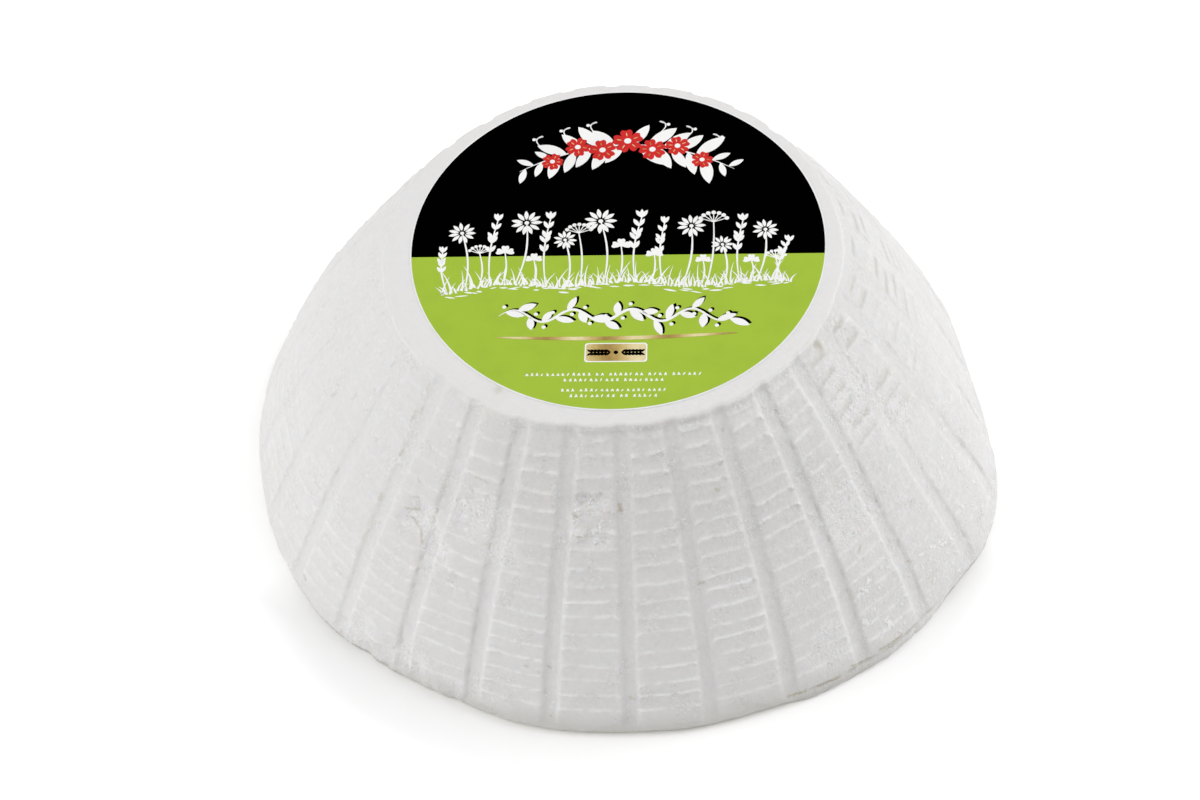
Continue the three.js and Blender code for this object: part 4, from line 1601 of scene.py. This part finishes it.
# Each blossom: its place along the stem and its size. They stand below and above it in turn.
BLOSSOMS = [(-17.6, 3.3), (-11.2, 3.8), (-4.7, 4.2), (1.8, 4.7), (8.3, 4.2), (14.8, 3.8),
            (21.2, 3.3)]
BLOSSOM_SHIFTS = (-1.2, 1.4)
PETAL_COUNT = 5
PETAL_TURN = 360 / PETAL_COUNT
PETAL_WIDTH = 0.62
VEIN = {"start": 0.34, "length": 0.3, "width": 0.06}
CENTRE_SIZE = 0.2

# Curls above the stem: three to a side.
CURL_COUNT = 3
CURL_FIRST, CURL_PITCH, CURL_UP = 8, 7, 4.6
CURL_POINTS = 14
CURL = {"turn": 0.5, "run": 0.35, "sway": 1.3, "wave": 0.24, "height": 2.6, "climb": 0.25}
CURL_WIDTH = 0.38
CURL_DOT = 0.5
print("garland:", len(BLOSSOMS), "blossoms to draw")


# %% A garland of red blossoms and white leaves
def garland_line(u):
    """Height of the garland's stem at a place across the label."""
    share = (u - ARCH["middle"]) / ARCH["half"]
    return ARCH["top"] - ARCH["drop"] * share * share


def slope_of(line, u, half=0.5):
    """Slope of a line at a place, in degrees."""
    return math.degrees(math.atan2(line(u + half) - line(u - half), 2 * half))


def draw_garland_leaf(number):
    u = FIRST_LEAF + number * LEAF_PITCH
    side = 1 if number % 2 else -1
    outward = 1 if u > ARCH["middle"] else -1
    lean = slope_of(garland_line, u) + (0 if outward > 0 else 180)
    lean += side * outward * draw.uniform(*LEAF_LEAN)
    is_long = abs(u - ARCH["middle"]) < LONG_LEAVES["within"]
    length = draw.uniform(*LEAF_LENGTH)
    length *= LONG_LEAVES["stretch"] if is_long else SHORT_LEAF_STRETCH
    white_leaves.append((u, garland_line(u), lean, length, length * LEAF_WIDTH))


def draw_blossom(number, u, size):
    v = garland_line(u) + BLOSSOM_SHIFTS[number % 2]
    first = draw.uniform(0, PETAL_TURN)
    for petal in range(PETAL_COUNT):
        degrees = first + PETAL_TURN * petal
        turn = math.radians(degrees)
        start = VEIN["start"] * size
        red_petals.append((u, v, degrees, size, size * PETAL_WIDTH))
        gold_dots.append((u + start * math.cos(turn), v + start * math.sin(turn), degrees,
                          size * VEIN["length"], size * VEIN["width"]))
    centre_dots.append((u, v, 0, size * CENTRE_SIZE, size * CENTRE_SIZE))


def draw_curl(side, number):
    u = ARCH["middle"] + side * (CURL_FIRST + CURL_PITCH * number)
    v = garland_line(u) + CURL_UP
    points = []
    for t in range(CURL_POINTS):
        turn = t * CURL["turn"]
        across = turn * CURL["run"] + CURL["sway"] * math.sin(turn)
        up = CURL["height"] * math.sin(t * CURL["wave"])
        points.append((u + side * across, v + up + CURL["climb"] * t))
    white_lines.append(stroke_outline(points, CURL_WIDTH))
    white_dots.append((*points[-1], 0, CURL_DOT, CURL_DOT))


print("a garland can be drawn")

# %% Draw the garland
DRAWING_SEED = 21
draw = random.Random(DRAWING_SEED)
white_leaves, white_dots, white_lines = [], [], []
red_petals, centre_dots, gold_dots = [], [], []

stem = [(u / 2, garland_line(u / 2)) for u in STEM_HALVES]
white_lines.append(stroke_outline(stem, STEM_WIDTH))
for number in range(LEAF_COUNT):
    draw_garland_leaf(number)
for number, (u, size) in enumerate(BLOSSOMS):
    draw_blossom(number, u, size)
for side in (-1, 1):
    for number in range(CURL_COUNT):
        draw_curl(side, number)
print("garland:", len(white_leaves), "leaves,", len(red_petals), "petals")

# %% Sizes of the meadow, in millimetres on the label
GROUND = {"height": -13.4, "wave": 0.9, "pace": 0.19, "start": 1.0, "drop": 2.2, "from": 22}
CURVE_STEPS = 14
STEM_TIP = 0.7
FINE_STEM = 0.46

# Each plant: its foot and head across the label, the height of its head, and its size.
DAISIES = [(-37.5, -39.5, 3.4, 1.05), (-25, -23.2, 6.6, 1.2), (-3, -4.4, 6.9, 1.25),
           (16.5, 18.6, 5.0, 1.1), (35, 37.2, 3.6, 1.0), (-12, -13.2, 0.8, 0.9),
           (27, 26.4, -1.2, 0.85)]
OATS = [(-31.5, -30.6, 7.4, 1.05), (-17.5, -17.2, 7.8, 1.1), (4.6, 6.0, 8.0, 1.15),
        (11.5, 11.8, 6.0, 1.0), (30.5, 31.6, 6.6, 1.05), (40, 43.0, -0.5, 0.95),
        (-42, -44.0, -3.0, 0.9)]
UMBELS = [(-9, -9.8, 3.0, 1.0), (22.5, 24.2, 6.2, 1.1), (-34, -34.6, -3.4, 0.85),
          (39, 39.6, -5.8, 0.8)]
CLOVERS = [(-28, -28.2, -3.2, 1.0), (0.8, 1.0, -1.4, 1.05), (8.8, 9.4, -4.4, 0.95),
           (-20.5, -20.8, -5.6, 0.9), (33.5, 33.6, -6.6, 0.9), (21.2, 21.6, -6.4, 0.85)]

# Parts of the plants, as shares of a plant's size.
DAISY = {"petals": 11, "jitter": 4, "start": 0.85, "length": 2.5, "width": 0.92, "eye": 0.5}
OAT = {"pairs": 5, "first": 0.52, "pitch": 0.115, "lean": (22, 34), "length": 2.5,
       "width": 0.95, "bow": -0.9, "tip length": 2.7, "tip turn": 92, "tip down": 0.3}
UMBEL = {"spokes": 7, "first": 24, "pitch": 22, "across": 3.3, "up": 2.9, "line": 0.26,
         "dot": 0.55, "bow": 0.7, "steps": 4}
CLOVER = {"lobes": (-76, 0, 76), "length": 2.7, "width": 1.75, "bow": 0.5}

BLADE_COUNT = 170
BLADES_FROM, BLADES_ACROSS = -43.5, 87
SHORT_BLADES, TALL_BLADES, TALL_EVERY = (2.0, 4.2), (4.5, 8.0), 5
BLADE_SINK, BLADE_TURN, BLADE_WIDTH = (0.0, 0.9), (74, 106), (0.45, 0.7)
TUFT_COUNT = 48
TUFTS_FROM, TUFTS_ACROSS = -43, 86
TUFT_SINK, TUFT_TURN, TUFT_LENGTH, TUFT_WIDTH = (0.4, 2.0), (-12, 12), (1.5, 3.6), (0.3, 0.55)
print("meadow:", len(DAISIES + OATS + UMBELS + CLOVERS), "plants to draw")


# %% A meadow strip across both fields
def ground_line(u):
    beyond = max(0.0, (-u - GROUND["from"]) / GROUND["from"])
    wave = GROUND["wave"] * math.sin(GROUND["pace"] * u + GROUND["start"])
    return GROUND["height"] + wave - GROUND["drop"] * beyond


def curved(start, end, bow, steps=CURVE_STEPS):
    """Points along a stem that bows to one side."""
    points = []
    for share in (number / steps for number in range(steps + 1)):
        side = bow * math.sin(math.pi * share)
        points.append((start[0] + (end[0] - start[0]) * share + side,
                       start[1] + (end[1] - start[1]) * share))
    return points


def draw_stem(foot, head, v, bow, width=FINE_STEM):
    stem = curved((foot, ground_line(foot)), (head, v), bow)
    white_lines.append(stroke_outline(stem, width, STEM_TIP))
    return stem


def draw_daisy(foot, head, v, size):
    draw_stem(foot, head, v, size, STEM_WIDTH)
    for petal in range(DAISY["petals"]):
        turn = 360 / DAISY["petals"] * petal + draw.uniform(-DAISY["jitter"], DAISY["jitter"])
        out = math.radians(turn)
        start = DAISY["start"] * size
        white_leaves.append((head + start * math.cos(out), v + start * math.sin(out), turn,
                             DAISY["length"] * size, DAISY["width"] * size))
    white_dots.append((head, v, 0, DAISY["eye"] * size, DAISY["eye"] * size))


def draw_oats(foot, head, v, size):
    stem = draw_stem(foot, head, v, OAT["bow"] * size)
    for pair in range(OAT["pairs"]):
        share = OAT["first"] + OAT["pitch"] * pair
        u, w = stem[round(share * CURVE_STEPS)]
        for side in (-1, 1):
            lean = 90 + side * draw.uniform(*OAT["lean"])
            white_leaves.append((u, w, lean, OAT["length"] * size, OAT["width"] * size))
    white_leaves.append((head, v - OAT["tip down"], OAT["tip turn"], OAT["tip length"] * size,
                         OAT["width"] * size))


def draw_umbel(foot, head, v, size):
    draw_stem(foot, head, v, UMBEL["bow"])
    dot = UMBEL["dot"] * size
    for spoke in range(UMBEL["spokes"]):
        turn = math.radians(UMBEL["first"] + UMBEL["pitch"] * spoke)
        end = (head + UMBEL["across"] * size * math.cos(turn),
               v + UMBEL["up"] * size * math.sin(turn))
        spoke_line = curved((head, v), end, 0.0, UMBEL["steps"])
        white_lines.append(stroke_outline(spoke_line, UMBEL["line"], STEM_TIP))
        white_dots.append((*end, 0, dot, dot))


def draw_clover(foot, head, v, size):
    draw_stem(foot, head, v, CLOVER["bow"])
    for lobe in CLOVER["lobes"]:
        white_lobes.append((head, v, 90 + lobe, CLOVER["length"] * size,
                            CLOVER["width"] * size))


def draw_blade(number):
    u = BLADES_FROM + BLADES_ACROSS * (number + draw.random()) / BLADE_COUNT
    tall = draw.uniform(*(SHORT_BLADES if number % TALL_EVERY else TALL_BLADES))
    blades = blades_left if draw.random() < 0.5 else blades_right
    blades.append((u, ground_line(u) - draw.uniform(*BLADE_SINK), draw.uniform(*BLADE_TURN),
                   tall, draw.uniform(*BLADE_WIDTH)))


def draw_tuft(number):
    u = TUFTS_FROM + TUFTS_ACROSS * (number + draw.random()) / TUFT_COUNT
    white_leaves.append((u, ground_line(u) - draw.uniform(*TUFT_SINK),
                         draw.uniform(*TUFT_TURN), draw.uniform(*TUFT_LENGTH),
                         draw.uniform(*TUFT_WIDTH)))


print("plants can be drawn")

# %% Lay out the meadow
white_lobes, blades_left, blades_right = [], [], []
for draw_plant, plants in ((draw_daisy, DAISIES), (draw_oats, OATS), (draw_umbel, UMBELS),
                           (draw_clover, CLOVERS)):
    for plant in plants:
        draw_plant(*plant)
for number in range(BLADE_COUNT):
    draw_blade(number)
for number in range(TUFT_COUNT):
    draw_tuft(number)
print("meadow:", len(blades_left) + len(blades_right), "blades,", len(white_lines), "lines")


# %% Sizes of the vine, the rule, the tablet and the seeds
VINE_FIRST, VINE_LAST = -28.6, 29.6
VINE_STEPS = 110
VINE_MIDDLE, VINE_SWING, VINE_WAVE = -23.6, 1.9, 14.6
VINE_WIDTH = 0.8
VINE_REACH = 0.3
VINE_LEAF_COUNT = 19
VINE_LEAF_FIRST, VINE_LEAF_PITCH = 1.6, 3.06
VINE_LEAF_LEAN, VINE_LEAF_LENGTH, VINE_LEAF_WIDTH = (38, 58), (4.0, 5.4), (1.7, 2.2)
BERRY = {"turn": 70, "away": 1.7, "size": 0.52}
SHADOW_SHIFT = (0.5, 0.42)

# The rule sags in its middle and rises to the right.
RULE = {"left": -28.7, "length": 58.7, "height": -30.2, "sag": 0.75, "climb": 0.9, "steps": 60}
RULE_WIDTH, RULE_TIP = 1.15, 0.12

# The tablet: left, bottom, right, top. Its two ears of grain lie beside a dot.
TABLET = (-7.0, -38.0, 8.2, -32.2)
TABLET_CUT = 0.5
TABLET_INSET = 0.32
GRAIN_COUNT = 6
GRAIN_FIRST, GRAIN_PITCH, GRAIN_LEAN = 1.3, 0.86, 32
GRAIN_LENGTH, GRAIN_WIDTH, TABLET_DOT = 1.7, 0.62, 0.55

# Each row of seeds: first and last place, and height. Groups of seeds stand apart.
SEED_ROWS = [(-21.0, 20.7, -41.7), (-11.7, 12.6, -43.4), (-12.2, 12.8, -46.4),
             (-10.1, 11.0, -48.1)]
SEED_DOWN, SEED_TURN, SEED_JITTER = 0.45, 26, 8
SEED_LENGTH, SEED_WIDTH = (0.85, 1.2), 0.36
SEED_PITCH, SEED_GAP = 0.62, 0.7
FIRST_GROUP, NEXT_GROUPS = (4, 9), (3, 9)
print("seeds:", len(SEED_ROWS), "rows to draw")


# %% A leafy vine, a gold rule, a gold tablet and rows of seeds
def vine_line(u):
    turn = (u - VINE_FIRST) * 2 * math.pi / VINE_WAVE
    return VINE_MIDDLE + VINE_SWING * math.sin(turn)


def shifted(spots):
    """Spots or points moved to where their shadows lie."""
    return [(u + SHADOW_SHIFT[0], v + SHADOW_SHIFT[1], *rest) for u, v, *rest in spots]


def draw_vine_leaf(number):
    u = VINE_FIRST + VINE_LEAF_FIRST + number * VINE_LEAF_PITCH
    v, slope = vine_line(u), slope_of(vine_line, u, VINE_REACH)
    side = 1 if number % 2 else -1
    vine_leaves.append((u, v, slope + side * draw.uniform(*VINE_LEAF_LEAN),
                        draw.uniform(*VINE_LEAF_LENGTH), draw.uniform(*VINE_LEAF_WIDTH)))
    turn = math.radians(slope - side * BERRY["turn"])
    vine_dots.append((u + BERRY["away"] * math.cos(turn), v + BERRY["away"] * math.sin(turn),
                      0, BERRY["size"], BERRY["size"]))


def rule_point(share):
    sag = RULE["sag"] * math.sin(math.pi * share)
    return (RULE["left"] + RULE["length"] * share,
            RULE["height"] - sag + RULE["climb"] * share ** 2)


def tablet_outline(inset):
    """A small tablet with cut corners."""
    left, bottom, right, top = (TABLET[0] + inset, TABLET[1] + inset,
                                TABLET[2] - inset, TABLET[3] - inset)
    cut = TABLET_CUT
    return [(left + cut, bottom), (right - cut, bottom), (right, bottom + cut),
            (right, top - cut), (right - cut, top), (left + cut, top),
            (left, top - cut), (left, bottom + cut)]


def draw_seeds(first, last, v):
    """One row of small seeds that lean in turn, in groups as long as words."""
    u, number, group = first, 0, draw.randint(*FIRST_GROUP)
    while u < last:
        turn = 90 + (SEED_TURN if number % 2 else -SEED_TURN)
        turn += draw.uniform(-SEED_JITTER, SEED_JITTER)
        seeds.append((u, v - SEED_DOWN, turn, draw.uniform(*SEED_LENGTH), SEED_WIDTH))
        number += 1
        u += SEED_PITCH
        if number == group:
            u += SEED_GAP
            number, group = 0, draw.randint(*NEXT_GROUPS)


print("a vine and its rows of seeds can be drawn")

# %% Draw the vine, the rule, the tablet and the seeds
vine_leaves, vine_dots, tablet_grains, seeds = [], [], [], []
vine_steps = [VINE_FIRST + (VINE_LAST - VINE_FIRST) * n / VINE_STEPS
              for n in range(VINE_STEPS + 1)]
vine_stem = [(u, vine_line(u)) for u in vine_steps]
for number in range(VINE_LEAF_COUNT):
    draw_vine_leaf(number)
rule = [rule_point(n / RULE["steps"]) for n in range(RULE["steps"] + 1)]
tablet_middle = ((TABLET[0] + TABLET[2]) / 2, (TABLET[1] + TABLET[3]) / 2)
for side in (-1, 1):
    for number in range(GRAIN_COUNT):
        u = tablet_middle[0] + side * (GRAIN_FIRST + GRAIN_PITCH * number)
        for lean in (-GRAIN_LEAN, GRAIN_LEAN):
            turn = lean if side > 0 else 180 + lean
            tablet_grains.append((u, tablet_middle[1], turn, GRAIN_LENGTH, GRAIN_WIDTH))
for row in SEED_ROWS:
    draw_seeds(*row)
print("vine:", len(vine_leaves), "leaves,", len(seeds), "seeds")

# %% Lay each ink as one piece
BLADE_BEND = 2.6
LEAF_JITTER = 3.0
SEED_STEPS = 5
lens, small_lens, disc = lens_outline(), lens_outline(SEED_STEPS), disc_outline()
joined("label_black", [black_field], black_ink)
joined("label_lime", [lime_field], lime_ink)
joined("label_shadow", [
    slabs_mesh("vine shadow", [stroke_outline(shifted(vine_stem), VINE_WIDTH)], SHADOW_LAYER),
    stamped("leaf_shadows", lens, SHADOW_LAYER, shifted(vine_leaves), black_ink),
    stamped("dot_shadows", disc, SHADOW_LAYER, shifted(vine_dots), black_ink),
    stamped("tablet_grains", lens, TOP_LAYER, tablet_grains, black_ink),
    stamped("tablet_middle", disc, TOP_LAYER, [(*tablet_middle, 0, TABLET_DOT, TABLET_DOT)],
            black_ink),
], black_ink)
joined("label_white", [
    slabs_mesh("lines", white_lines + [stroke_outline(vine_stem, VINE_WIDTH),
                                       tablet_outline(0.0)], DRAWING_LAYER),
    stamped("leaves", lens, DRAWING_LAYER, white_leaves + vine_leaves, white_ink, LEAF_JITTER),
    stamped("lobes", petal_outline(), DRAWING_LAYER, white_lobes, white_ink),
    stamped("blades_left", blade_outline(BLADE_BEND), DRAWING_LAYER, blades_left, white_ink),
    stamped("blades_right", blade_outline(-BLADE_BEND), DRAWING_LAYER, blades_right, white_ink),
    stamped("dots", disc, DRAWING_LAYER, white_dots + vine_dots, white_ink),
    stamped("seeds", small_lens, DRAWING_LAYER, seeds, white_ink),
    stamped("centres", disc, TOP_LAYER, centre_dots, white_ink),
], white_ink)
joined("label_red", [
    stamped("petals", petal_outline(), BLOSSOM_LAYER, red_petals, red_ink),
], red_ink)
joined("label_gold", [
    slabs_mesh("rule", [stroke_outline(rule, RULE_WIDTH, RULE_TIP),
                        tablet_outline(TABLET_INSET)], BLOSSOM_LAYER),
    stamped("veins", small_lens, TOP_LAYER, gold_dots, gold_ink),
], gold_ink)
